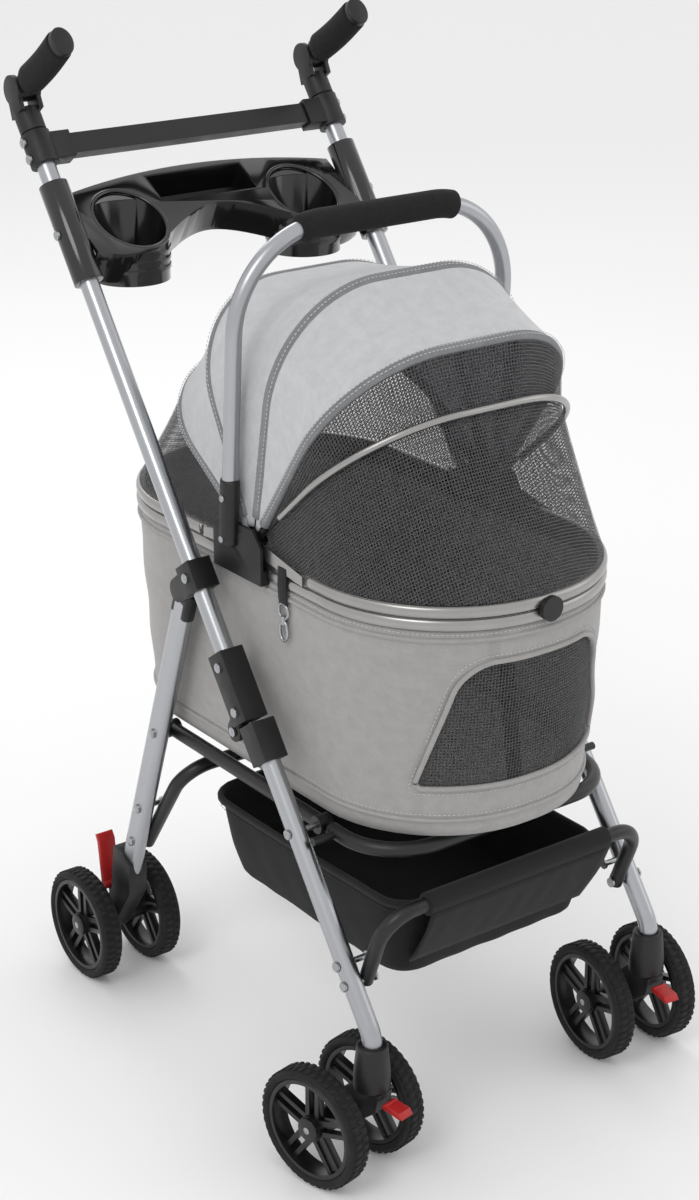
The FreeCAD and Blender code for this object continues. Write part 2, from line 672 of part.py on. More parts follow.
hoop_spots = [on_leg(leg_len * share.value) for share in (hoop_share_high, hoop_share_low)]
link_spot = on_leg((rear_hinge.z - link_up.value) / -leg_dir.z)
rear_tube = cut(obround(0, LEG_START, leg_len - LEG_START), obround(-tube_wall, LEG_START - 1, leg_len))
rear_holes = [across(rear_x - 12, p.y, p.z, rivet_r, 24) for p in hoop_spots + [link_spot]]
node(both(cut(rear_tube, *rear_holes)), "rear_legs")

cap_outer = fuse(obround(1, 3, 30), across(rear_x - leg_wide / 2, rear_hinge.y, rear_hinge.z, 12.5, leg_wide))
side_trim = block((rear_x.value - 20, -30, -60), 20 - leg_wide / 2, 60, 120,
                  FreeCAD.Placement(V(0, rear_hinge.y, rear_hinge.z), FreeCAD.Rotation()))
side_trim2 = block((rear_x.value + leg_wide.value / 2, -30, -60), 20, 60, 120,
                   FreeCAD.Placement(V(0, rear_hinge.y, rear_hinge.z), FreeCAD.Rotation()))
node(both(cut(cap_outer, side_trim, side_trim2, obround(0, LEG_START, 60),
              across(rear_x - 20, rear_hinge.y, rear_hinge.z, rivet_r + RUN, 40))), "rear_leg_caps")

rear_hoop_x = rear_x - leg_wide / 2 - hoop_r - 0.3
rear_start = V(rear_hoop_x.value, hoop_spots[1].y + 2, hoop_spots[1].z - 8)
rear_rise = V(0, rear_bar_back.value - rear_start.y, rear_bar_up.value - rear_start.z)
rear_place = FreeCAD.Placement(rear_start, FreeCAD.Rotation(V(-1, 0, 0), rear_rise,
                                                            V(-1, 0, 0).cross(rear_rise), "ZXY"))
rear_hoop = bent_tube([(0, 0), (0, rear_rise.Length), (rear_hoop_x * 2, rear_rise.Length),
                       (rear_hoop_x * 2, 0)], HOOP_BEND, hoop_r, hoop_wall, rear_place)
rear_hoop_holes = [across(-200, p.y, p.z, rivet_r, 400) for p in hoop_spots]
node(cut(rear_hoop, *rear_hoop_holes), "rear_hoop")

axle_housing = padded([(foot_back - 20, foot_up + 24), (foot_back - 17, foot_up - 12),
                       (rear_axle - 15, wheel_r - 6), (rear_axle - 6, wheel_r - 15),
                       (rear_axle + 8, wheel_r - 14), (rear_axle + 15, wheel_r + 2),
                       (foot_back + 21, foot_up - 20), (foot_back + 13, foot_up + 36)], 22,
                      level_frame(rear_x, 0, 0))
node(both(cut(axle_housing, obround(seat, LEG_START, leg_len - LEG_START),
              across(rear_x - 20, rear_axle, wheel_r, axle_r + RUN, 40))), "axle_housings")

rear_rivets = [rivet(p.y, p.z, rear_hoop_x - hoop_r, rear_x + leg_wide / 2) for p in hoop_spots]
rear_rivets.append(rivet(link_spot.y, link_spot.z, rear_x - leg_wide / 2 + 0.1, rear_x + leg_wide / 2, False))
node(both(group(*rear_rivets)), "rear_rivets")

BRAKE_Y, BRAKE_Z = rear_axle.value + 7, wheel_r.value + 34
brake = fuse(across(rear_x - 10, BRAKE_Y, BRAKE_Z, 5, 20),
             padded([(-2, 0), (3, 0), (9, 50), (13, 58), (9, 60), (4, 52)], 20,
                    level_frame(rear_x, BRAKE_Y, BRAKE_Z)))
node(brake, "brake_lever_right")
node(mirrored(brake), "brake_lever_left")

# ---- side links ---------------------------------------------------------------------------------
link_long = link_spot.y - link_pin[0]
bar_tube = rod(V(link_x.value, link_pin[0], link_up.value), V(0, 1, 0), hoop_r, link_long)
eyes = [across(link_x - hoop_r, y, link_up, hoop_r + 1.5, hoop_r * 2) for y in (link_pin[0], link_spot.y)]
CROSS_Y = link_pin[0] + link_long * 0.45
cross_tie = across(-link_x, CROSS_Y, link_up, 4.5, link_x * 2)
link_holes = both(across(link_x - 12, link_pin[0], link_up, rivet_r + RUN, 30))
link_parts = [bar_tube] + eyes
node(cut(fuse(*(link_parts + [mirrored(part) for part in link_parts] + [cross_tie])), link_holes),
     "side_links")

# ---- wheels and casters -------------------------------------------------------------------------
SPOKES = 5


def wheel_ring(x, outer, inner, width, edge):
    """Ring about the wheel's axis, which is local X."""
    shape = spun([(inner, -width / 2), (outer - edge, -width / 2), (outer, -width / 2 + edge),
                  (outer, width / 2 - edge), (outer - edge, width / 2), (inner, width / 2)])
    shape.Placement = FreeCAD.Placement(V(float(x), 0, 0), FreeCAD.Rotation(V(0, 0, 1), -90))
    return shape


def wheel_pair(name, place, half_gap, hub_in):
    """Two tyres, and two rims joined by their axle, all turning together."""
    rim_r = wheel_r - tyre_deep
    tyres, rims = [], [across(-half_gap - 8, 0, 0, axle_r, half_gap * 2 + 16)]
    for side in (-1, 1):
        middle = half_gap * side
        tyres.append(wheel_ring(middle, wheel_r, rim_r, tyre_w, 4))
        rims.append(wheel_ring(middle, rim_r, rim_r - 5, tyre_w - 4, 1))
        inner_end = hub_in if side > 0 else -half_gap - 8
        rims.append(across(inner_end, 0, 0, hub_r, half_gap + 8 - hub_in))
        for k in range(SPOKES):
            for offset in (-6, 6):
                turn = FreeCAD.Placement(V(middle.value, 0, 0),
                                         FreeCAD.Rotation(V(1, 0, 0), 360.0 * k / SPOKES))
                rims.append(block((-4, offset - 2.5, hub_r.value - 5), 8, 5, rim_r - hub_r + 3, turn))
    pair = group(*tyres)
    pair.Placement = place
    node(pair, name + "_tyres")
    rim = fuse(*rims)
    rim.Placement = place
    node(rim, name + "_rims")


for side, name in ((1, "right"), (-1, "left")):
    wheel_pair("rear_" + name, FreeCAD.Placement(V(side * rear_x.value, rear_axle.value, wheel_r.value),
                                                 FreeCAD.Rotation()), rear_gap, 11.6)

FORK = 20
for side, name, turn in ((1, "right", turn_right), (-1, "left", turn_left)):
    swivel = FreeCAD.Placement(V(side * frame_half.value, caster_back.value, 0),
                               FreeCAD.Rotation(V(0, 0, 1), turn.value))
    wheel_pair("front_" + name, swivel.multiply(FreeCAD.Placement(V(0, trail.value, wheel_r.value),
                                                                 FreeCAD.Rotation())), front_gap, 10.6)
    arm = padded([(-17, caster_low - gap), (19, caster_low - gap), (trail + 13, wheel_r + 12),
                  (trail + 13, wheel_r - 10), (trail + 6, wheel_r - 15), (trail - 10, wheel_r - 13),
                  (-13, caster_low - 20)], FORK, level_frame(0, 0, 0))
    stem = rod(V(0, 0, caster_low.value - 4), V(0, 0, 1), STEM_R, 10)
    fork = cut(fuse(arm, stem), across(-20, trail, wheel_r, axle_r + RUN, 40))
    fork.Placement = swivel
    node(fork, "caster_fork_" + name)
    lever = fuse(across(-8, -23, caster_low - 10, 3.2, 16),
                 padded([(-45, -4.5), (-41, 1), (-23, 2.5), (-23, -2.5), (-41, -5.5)], 16,
                        level_frame(0, 0, caster_low.value - 10)))
    lever.Placement = swivel
    node(lever, "caster_lock_" + name)

# ---- carrier: tub, rings, brackets --------------------------------------------------------------
CORNER = 7      # the ring's corner radius is this much less than its half width
TUB_BASE = 8
rail_y = 70     # upper ring halves start this far from the bow pivot


def ring_wire(grow, z, taper=0.0):
    """Rounded rectangle around the carrier at height z."""
    half_x = ring_half.value + grow - taper / 2
    half_y = ring_long.value + grow - taper
    corner = half_x - CORNER
    middle = ring_y.value
    edges = []
    corners = [(1, 1, 0), (-1, 1, 90), (-1, -1, 180), (1, -1, 270)]
    starts = []
    for sx, sy, angle in corners:
        centre = V(sx * (half_x - corner), middle + sy * (half_y - corner), z)
        ends = [centre + V(math.cos(math.radians(angle + step)), math.sin(math.radians(angle + step)), 0)
                * corner for step in (0, 45, 90)]
        starts.append(ends)
    for i, ends in enumerate(starts):
        edges.append(Part.Arc(*ends).toShape())
        edges.append(Part.makeLine(ends[2], starts[(i + 1) % 4][0]))
    return Part.Wire(edges)


def ring_band(grow_out, grow_in, low, high):
    """Upright-walled ring between two heights."""
    outer = Part.Face(ring_wire(grow_out, low)).extrude(V(0, 0, high - low))
    inner = Part.Face(ring_wire(grow_in, low)).extrude(V(0, 0, high - low))
    return outer.cut(inner)


def slab(y_low, y_high):
    return Part.makeBox(600, y_high - y_low, 900, V(-300, y_low, 0))


def tub_solid(inset, low, high, taper_low):
    return Part.makeLoft([ring_wire(-inset, low, taper_low), ring_wire(-inset, high)], True, True)


tub_top = ring_up.value - ring_deep.value
taper = tub_in.value
outer_tub = tub_solid(0, tub_low.value, tub_top, taper)
cavity = tub_solid(tub_wall.value, tub_low.value + TUB_BASE, tub_top + 0.01, taper)
window_low, window_high, window_half = tub_low.value + 52, tub_top - 34, 108
window_block = Part.makeBox(window_half * 2, 200, window_high - window_low,
                            V(-window_half, ring_y.value - ring_long.value - 40, window_low))
shell = outer_tub.cut(cavity)
node(freeform(shell.cut(window_block)), "tub")
net_outer = tub_solid(1.2, tub_low.value, tub_top, taper)
thin = net_outer.cut(tub_solid(2.6, tub_low.value - 1, tub_top + 1, taper))
node(freeform(thin.common(window_block)), "window_mesh")
pad_shape = Part.Face(ring_wire(-tub_wall.value - 4, tub_low.value + TUB_BASE, taper)).extrude(V(0, 0, 16))
node(freeform(pad_shape), "floor_pad")

ring_low = ring_band(0, -ring_wall.value, tub_top, ring_up.value - 0.3)
side_rail = ring_band(0, -ring_wall.value, ring_up.value - 0.3, ring_up.value + ring_deep.value)
rail_slab = slab(bow_back.value - rail_y + 1, bow_back.value + rail_y - 1)
node(freeform(ring_low.fuse(side_rail.common(rail_slab))), "lower_ring")

upper = ring_band(0, -ring_wall.value, ring_up.value + 0.3, ring_up.value + ring_deep.value)


ARM = 1.2                       # thickness of the steel arms of the upper ring
REAR_LANE, FRONT_LANE = 1.2, 2.8    # an arm's inner face outside the ring
PLATE_LANE = 7.4                # the side bracket's plate, likewise


def ring_arm(x_low, sign):
    """Flat arm on the outside of an upper ring half, from the bow pivot to the ring."""
    end_y = bow_back.value + sign * (rail_y + 14)
    band_x = ring_half.value
    top_z, low_z = bow_up.value + 8, bow_up.value - 8
    arm = Part.makePolygon([V(x_low, y, z) for y, z in (
        (bow_back.value, top_z), (bow_back.value, low_z), (end_y, ring_up.value + 1),
        (end_y, ring_up.value + ring_deep.value - 1), (bow_back.value, top_z))])
    plate = Part.Face(arm).extrude(V(ARM, 0, 0))
    plate = plate.fuse(Part.makeCylinder(8, ARM, V(x_low, bow_back.value, bow_up.value), V(1, 0, 0)))
    foot_y = min(end_y, bow_back.value + sign * (rail_y + 2))
    foot = Part.makeBox(x_low - band_x + 2.6, 12, ring_deep.value - 3,
                        V(band_x - 2, foot_y, ring_up.value + 1.5))
    hole = Part.makeCylinder(rivet_r.value + RUN, 20, V(x_low - 8, bow_back.value, bow_up.value), V(1, 0, 0))
    return plate.fuse(foot).cut(hole)


def mirror_shape(shape):
    return shape.mirror(V(0, 0, 0), V(1, 0, 0))


front_arm = ring_arm(ring_half.value + FRONT_LANE, -1)
rear_arm = ring_arm(ring_half.value + REAR_LANE, 1)
front_half = upper.common(slab(-900, bow_back.value - rail_y))
rear_half = upper.common(slab(bow_back.value + rail_y, 900))
node(freeform(front_half.fuse([front_arm, mirror_shape(front_arm)])), "upper_ring_front")
node(freeform(rear_half.fuse([rear_arm, mirror_shape(rear_arm)])), "upper_ring_rear")

plate_x = ring_half + PLATE_LANE
PLATE_T = 3.4
plate = padded([(bow_back - 26, ring_up - 16), (carry_back + 30, ring_up - 16), (carry_back + 30, bow_up + 2),
                (carry_back + 18, bow_up + 17), (bow_back - 12, bow_up + 17), (bow_back - 26, bow_up + 2)],
               PLATE_T, level_frame(plate_x + PLATE_T / 2, 0, 0))
bracket_foot = block((ring_half.value, bow_back.value - 26, ring_up.value - 16), PLATE_LANE + 1,
                     carry_back - bow_back + 56, 14)
bow_pin = across(ring_half - 16, bow_back, bow_up, rivet_r, PLATE_LANE + 17)
carry_pin = across(plate_x, carry_back, bow_up, rivet_r, 8)
carry_head = across(plate_x + 8, carry_back, bow_up, head_r, 1.5)
node(both(fuse(plate, bracket_foot, bow_pin, carry_pin, carry_head)), "side_brackets")

# ---- canopy bows and cloth ----------------------------------------------------------------------
BOW_START = 54          # a bow's round part starts this far from its pivot
BOW_CORNER = bow_x.value - 34.2
BLADE_T, BLADE_W = 2.4, 9
BLADE_LAP = 6           # flat end and round part lap by this much
PANEL_OFF = 1.0         # cloth stands off a bow by this much


def bow_frame(angle):
    """Local X along -X, local Y out along the bow, for a bow at an angle up from the rear."""
    a = math.radians(angle)
    out = V(0, math.cos(a), math.sin(a))
    return FreeCAD.Placement(V(0, bow_back.value, bow_up.value),
                             FreeCAD.Rotation(V(-1, 0, 0), out, V(-1, 0, 0).cross(out), "ZXY"))


def bow(angle, reach, lane_in):
    """Round bow with flat ends that stack on the pivot pin."""
    frame = bow_frame(angle)
    top = reach - BOW_START
    start = frame.multiply(FreeCAD.Placement(V(-bow_x.value, BOW_START, 0), FreeCAD.Rotation()))
    tube = bent_tube([(0, 0), (0, top), (bow_x * 2, top), (bow_x * 2, 0)], BOW_CORNER, bow_r, None, start)
    lane_x = bow_x.value - lane_in
    blade = block((-lane_x - BLADE_T, 0, -BLADE_W / 2), BLADE_T, BOW_START + BLADE_LAP, BLADE_W, frame)
    eye_disc = across(lane_x, bow_back, bow_up, rivet_r + 3, BLADE_T)
    bridge = rod(frame.multVec(V(-lane_x, BOW_START + 2, 0)), V(1, 0, 0), rivet_r, lane_in + 2)
    hole = across(lane_x - BLADE_T, bow_back, bow_up, rivet_r + RUN, BLADE_T * 3)
    end = cut(fuse(blade, eye_disc, bridge), hole)
    return fuse(tube, end, mirrored(end))


# name, angle up from the rear, pivot to crown, flat end inside the bow's side
BOWS = [("bow_rear_low", 33, 228, 7.7), ("bow_rear_high", 62, 246, 5.0), ("main_bow", 100, 250, -0.3),
        ("bow_front_high", 125, 245, 2.4), ("bow_front_low", 138.5, 221, 10.4)]
for name, angle, reach, lane_in in BOWS:
    node(bow(angle, reach, lane_in), name)


def arch(angle, shift):
    """Points of a U in a bow's plane, moved sideways off it by shift."""
    a = math.radians(angle)
    out, normal = V(0, math.cos(a), math.sin(a)), V(0, -math.sin(a), math.cos(a))
    return lambda x, r: V(x, bow_back.value, bow_up.value) + out * r + normal * shift


def u_face(place, width, reach, thick, start, corner):
    """Closed wire of a U-shaped strip; place maps (x, distance from the pivot) to 3-D."""
    def side(w, top, radius):
        lift = top - radius
        diagonal = radius * math.sqrt(0.5)
        return [place(w, start), place(w, lift), place(w - radius + diagonal, lift + diagonal),
                place(w - radius, top), place(-w + radius, top),
                place(-w + radius - diagonal, lift + diagonal), place(-w, lift), place(-w, start)]
    outer = side(width, reach, corner)
    inner = side(width - thick, reach - thick, corner - thick)[::-1]
    edges = []
    for strip in (outer, inner):
        edges += [Part.makeLine(strip[0], strip[1]), Part.Arc(strip[1], strip[2], strip[3]).toShape(),
                  Part.makeLine(strip[3], strip[4]), Part.Arc(strip[4], strip[5], strip[6]).toShape(),
                  Part.makeLine(strip[6], strip[7])]
        edges.append(Part.makeLine(strip[7], inner[0] if strip is outer else outer[0]))
    return Part.Wire(edges)


def bow_edge(index, toward):
    angle, reach = BOWS[index][1:3]
    place = arch(angle, toward * (bow_r.value + PANEL_OFF))
    return u_face(place, bow_x.value + 1, reach + 1, panel_t.value, BOW_START + BLADE_LAP, BOW_CORNER)


def ring_edge(sign):
    """The same strip laid level just above the upper ring."""
    reach = ring_long.value - sign * (bow_back.value - ring_y.value)
    height = ring_up.value + ring_deep.value + 1
    return u_face(lambda x, r: V(x, bow_back.value + sign * r, height), ring_half.value, reach,
                  panel_t.value, rail_y + 6, min(ring_half.value - CORNER, reach - rail_y - 10))


def panel(name, low_wire, high_wire):
    node(freeform(Part.makeLoft([low_wire, high_wire], True, True)), name)


panel("canopy_rear_mesh", ring_edge(1), bow_edge(0, -1))
panel("canopy_rear", bow_edge(0, 1), bow_edge(1, -1))
panel("canopy_crown", bow_edge(1, 1), bow_edge(2, -1))
panel("canopy_hood", bow_edge(2, 1), bow_edge(3, -1))
panel("front_mesh_high", bow_edge(3, 1), bow_edge(4, -1))
panel("front_mesh_low", bow_edge(4, 1), ring_edge(-1))

# ---- carry handle, ring latch, snap hook, basket --------------------------------------------------
CARRY_LEAN = 4
BLADE = 50
carry_rad = math.radians(90 + CARRY_LEAN)
carry_out = V(0, math.cos(carry_rad), math.sin(carry_rad))
carry_frame = FreeCAD.Placement(V(0, carry_back.value, bow_up.value),
                                FreeCAD.Rotation(V(-1, 0, 0), carry_out, V(-1, 0, 0).cross(carry_out),
                                                 "ZXY"))
CARRY_BEND = 96
CARRY_BLADE = 3.6
carry_top = carry_high - BLADE + 4
carry_route = [(0, 0), (0, carry_top), (carry_x * 2, carry_top), (carry_x * 2, 0)]
carry_start = carry_frame.multiply(FreeCAD.Placement(V(-carry_x.value, BLADE - 4, 0), FreeCAD.Rotation()))
carry_tube = bent_tube(carry_route, CARRY_BEND, carry_r, tube_wall, carry_start)
blade_x = plate_x + 4
blade = block((-blade_x.value - CARRY_BLADE, 0, -carry_r.value), CARRY_BLADE, BLADE, carry_r * 2, carry_frame)
blade_eye = across(blade_x, carry_back, bow_up, 9, CARRY_BLADE)
blade_hole = across(blade_x - 5, carry_back, bow_up, rivet_r + RUN, 20)
blade_end = cut(fuse(blade, blade_eye), blade_hole)
node(fuse(carry_tube, blade_end, mirrored(blade_end)), "carry_handle")
FOAM_HALF = 100
foam_tube = bent_tube(carry_route, CARRY_BEND, foam_r, foam_r - carry_r, carry_start)
keep = block((-FOAM_HALF, carry_high.value - 108, -40), FOAM_HALF * 2, 200, 80, carry_frame)
foam = doc.addObject("Part::MultiCommon", "Common")
foam.Shapes = [foam_tube, keep]
node(foam, "carry_foam")

front_y = ring_y.value - ring_long.value
latch_knob = rod(V(0, front_y - 3.6, ring_up.value), V(0, -1, 0), 12, 5)
node(latch_knob, "ring_latch")

hook = V(-ring_half.value - 2.8, bow_back.value - 52, tub_top - 22)
HOOK_R, HOOK_WIRE = 8, 1.8
hook_ring = doc.addObject("Part::Torus", "Torus")
bind(hook_ring, Radius1=HOOK_R, Radius2=HOOK_WIRE)
hook_ring.Placement = FreeCAD.Placement(hook, FreeCAD.Rotation(V(0, 0, 1), V(1, 0, 0)))
swivel_pin = rod(hook + V(0, 0, HOOK_R - 1), V(0, 0, 1), 3, 9)
node(fuse(hook_ring, swivel_pin), "snap_hook")

SIDE_SHARE, FRONT_SHARE = 0.4, 0.6     # how far the basket's sides and front lean in, beside its rear


def basket_wire(inset, z, lean_in):
    """Outline of the basket at height z."""
    half_x = basket_half.value - inset - lean_in * SIDE_SHARE
    low = basket_front.value + inset + lean_in * FRONT_SHARE
    high = basket_rear.value - inset - lean_in
    return Part.makePolygon([V(-half_x, low, z), V(half_x, low, z), V(half_x, high, z), V(-half_x, high, z),
                             V(-half_x, low, z)])


wall, slope = basket_wall.value, basket_slope.value
basket_outer = Part.makeLoft([basket_wire(0, basket_low.value, slope),
                              basket_wire(0, basket_top.value, 0)], True, True)
basket_hollow = Part.makeLoft([basket_wire(wall, basket_low.value + wall, slope),
                               basket_wire(wall, basket_top.value + 1, 0)], True, True)
node(freeform(basket_outer.cut(basket_hollow)), "basket")

# ---- check and write ------------------------------------------------------------------------------
doc.recompute()
problems = [thing.Name for thing in doc.Objects if "Invalid" in thing.State or "Error" in thing.State]
for thing in finished:
    if thing.Shape.isNull() or not thing.Shape.isValid() or not thing.Shape.Solids:
        problems.append(thing.Label)
if problems:
    raise SystemExit("these did not build: " + ", ".join(problems))
os.makedirs("parts", exist_ok=True)
for thing in finished:
    thing.Shape.exportStep(os.path.join("parts", thing.Label + ".step"))
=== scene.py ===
import json
import math

import bmesh
import bpy
from mathutils import Matrix, Vector


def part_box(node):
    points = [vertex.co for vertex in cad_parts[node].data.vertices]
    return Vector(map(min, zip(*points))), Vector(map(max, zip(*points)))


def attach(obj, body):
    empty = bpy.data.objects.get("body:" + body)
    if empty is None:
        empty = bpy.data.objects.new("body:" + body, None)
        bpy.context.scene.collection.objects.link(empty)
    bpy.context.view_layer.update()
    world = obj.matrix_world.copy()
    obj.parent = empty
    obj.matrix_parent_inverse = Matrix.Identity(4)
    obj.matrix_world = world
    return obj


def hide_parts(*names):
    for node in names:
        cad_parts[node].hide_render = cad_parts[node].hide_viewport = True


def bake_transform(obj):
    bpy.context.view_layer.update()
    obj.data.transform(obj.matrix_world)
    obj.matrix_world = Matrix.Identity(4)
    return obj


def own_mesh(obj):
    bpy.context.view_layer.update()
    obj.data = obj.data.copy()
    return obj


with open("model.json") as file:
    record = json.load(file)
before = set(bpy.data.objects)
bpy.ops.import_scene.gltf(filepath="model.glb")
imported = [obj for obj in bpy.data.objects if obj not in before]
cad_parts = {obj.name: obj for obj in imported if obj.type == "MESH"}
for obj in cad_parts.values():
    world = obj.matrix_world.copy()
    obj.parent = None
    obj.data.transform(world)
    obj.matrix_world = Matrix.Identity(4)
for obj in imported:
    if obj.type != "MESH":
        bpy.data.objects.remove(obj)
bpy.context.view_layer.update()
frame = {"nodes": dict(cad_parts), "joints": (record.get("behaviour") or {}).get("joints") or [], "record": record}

# Folding pet stroller: looks of its frame, wheels, carrier, canopy, tray, grips and basket.
# Metres.  +Z is up, the stroller rolls towards -Y, the middle plane is X = 0.

MM = 0.001
UV_NAME = "cloth"
CAD_MERGE = 2e-6        # points of a CAD mesh closer than this are one point
scene = bpy.context.scene
joints = {joint["name"]: joint for joint in frame["joints"]}


# ---- helpers -------------------------------------------------------------------------------------
def linear(text):
    """An sRGB hex value as a linear colour."""
    parts = [int(text[i:i + 2], 16) / 255 for i in (1, 3, 5)]
    return tuple(c / 12.92 if c <= 0.04045 else ((c + 0.055) / 1.055) ** 2.4 for c in parts) + (1.0,)


def add_node(tree, kind, settings=None, links=None):
    """Add a node; settings name its inputs or its properties, links give the sockets that feed it."""
    made = tree.nodes.new(kind)
    for name, value in (settings or {}).items():
        if isinstance(name, int) or name in made.inputs:
            made.inputs[name].default_value = value
        else:
            setattr(made, name, value)
    for name, socket in (links or {}).items():
        tree.links.new(socket, made.inputs[name])
    return made


def mesh_object(name, points, faces, material=None, uvs=None):
    """Smooth mesh from points and faces; uvs gives one pair per point, in metres."""
    mesh = bpy.data.meshes.new(name)
    mesh.from_pydata([tuple(p) for p in points], [], faces)
    mesh.update()
    mesh.shade_smooth()
    if uvs:
        layer = mesh.uv_layers.new(name=UV_NAME)
        for loop in mesh.loops:
            layer.data[loop.index].uv = uvs[loop.vertex_index]
    made = bpy.data.objects.new(name, mesh)
    scene.collection.objects.link(made)
    if material:
        mesh.materials.append(material)
    return made


def bake_modifiers(piece):
    """Turn a piece's modifiers into plain mesh."""
    graph = bpy.context.evaluated_depsgraph_get()
    done = bpy.data.meshes.new_from_object(piece.evaluated_get(graph))
    piece.modifiers.clear()
    piece.data = done
    return piece


def outward(piece, merge=1e-6):
    """Merge doubled points, drop loose ones and face every face outwards."""
    work = bmesh.new()
    work.from_mesh(piece.data)
    bmesh.ops.remove_doubles(work, verts=work.verts, dist=merge)
    bmesh.ops.recalc_face_normals(work, faces=work.faces)
    bmesh.ops.delete(work, geom=[v for v in work.verts if not v.link_faces], context="VERTS")
    work.to_mesh(piece.data)
    work.free()
    return piece


def joined(name, pieces):
    """One piece from several."""
    work = bmesh.new()
    materials = []
    for piece in pieces:
        start = len(work.faces)
        work.from_mesh(piece.data)
        work.faces.ensure_lookup_table()
        for material in piece.data.materials:
            if material not in materials:
                materials.append(material)
        for face in work.faces[start:]:
            own = piece.data.materials[face.material_index] if piece.data.materials else None
            face.material_index = materials.index(own) if own else 0
    mesh = bpy.data.meshes.new(name)
    work.to_mesh(mesh)
    work.free()
    for material in materials:
        mesh.materials.append(material)
    for piece in pieces:
        bpy.data.objects.remove(piece)
    made = bpy.data.objects.new(name, mesh)
    scene.collection.objects.link(made)
    return made


def finished(piece, body, nodes=()):
    """Hand a finished piece to its body and hide the CAD nodes it stands for."""
    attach(piece, body)
    if nodes:
        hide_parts(*nodes)
    return piece


def tube_on(name, path, wide, material, high=None, up=(0, 0, 1), sides=14, closed=False, round_ends=0):
    """Oval tube along a list of points; wide and high are half sizes across and along up."""
    path = [Vector(p) for p in path]
    count = len(path)
    high = wide if high is None else high
    sizes = [1.0] * count
    if round_ends and not closed:
        first = path[0] - (path[1] - path[0]).normalized() * wide * round_ends
        last = path[-1] + (path[-1] - path[-2]).normalized() * wide * round_ends
        steps = (0.0, 0.3, 0.6, 0.87)
        path = ([first.lerp(path[0], s) for s in steps] + path
                + [path[-1].lerp(last, 1 - s) for s in reversed(steps)])
        ease = [max(0.06, math.sqrt(1 - (1 - s) ** 2)) for s in steps]
        sizes = ease + sizes + ease[::-1]
        count = len(path)
    points, faces, uvs = [], [], []
    run = 0.0
    for i, here in enumerate(path):
        before = path[i - 1] if closed or i else here
        after = path[(i + 1) % count] if closed or i < count - 1 else here
        run += (here - before).length if i else 0.0
        along = (after - before).normalized()
        side = along.cross(Vector(up))
        side = side.normalized() if side.length > 0.02 else along.orthogonal().normalized()
        top = side.cross(along).normalized()
        for k in range(sides):
            turn = 2 * math.pi * k / sides
            reach = side * math.cos(turn) * wide + top * math.sin(turn) * high
            points.append(here + reach * sizes[i])
            uvs.append((run, 2 * math.pi * max(wide, high) * k / sides))
    for i in range(count if closed else count - 1):
        j = (i + 1) % count
        for k in range(sides):
            n = (k + 1) % sides
            faces.append((i * sides + k, i * sides + n, j * sides + n, j * sides + k))
    if not closed:
        faces += [tuple(range(sides))[::-1], tuple(range((count - 1) * sides, count * sides))]
    return outward(mesh_object(name, points, faces, material, uvs))


def softened(name, material, body, nodes, round_mm=1.0):
    """Copy of CAD nodes whose sharp edges are rounded, as moulded edges are."""
    copies = []
    for node in nodes:
        work = bmesh.new()
        work.from_mesh(frame["nodes"][node].data)
        bmesh.ops.remove_doubles(work, verts=work.verts, dist=CAD_MERGE)
        bmesh.ops.dissolve_limit(work, angle_limit=math.radians(1), verts=work.verts, edges=work.edges)
        mesh = bpy.data.meshes.new(node)
        work.to_mesh(mesh)
        work.free()
        copy = bpy.data.objects.new(node + "_copy", mesh)
        scene.collection.objects.link(copy)
        mesh.materials.clear()
        mesh.materials.append(material)
        bevel = copy.modifiers.new("Edge", "BEVEL")
        bevel.width, bevel.segments = round_mm * MM, 2
        bevel.limit_method, bevel.angle_limit = "ANGLE", math.radians(35)
        bake_modifiers(copy)
        copy.data.shade_smooth()
        copy.data.set_sharp_from_angle(angle=math.radians(42))
        copies.append(copy)
    return finished(joined(name, copies), body, nodes)


def wobble(a, b, c):
    """Smooth, repeatable unevenness between -1 and 1."""
    waves = (a * 3.1 + b * 1.7, b * 2.3 - c * 2.9 + 1.3, c * 3.7 + a * 1.1 + 2.1)
    return sum(math.sin(wave) for wave in waves) / 3


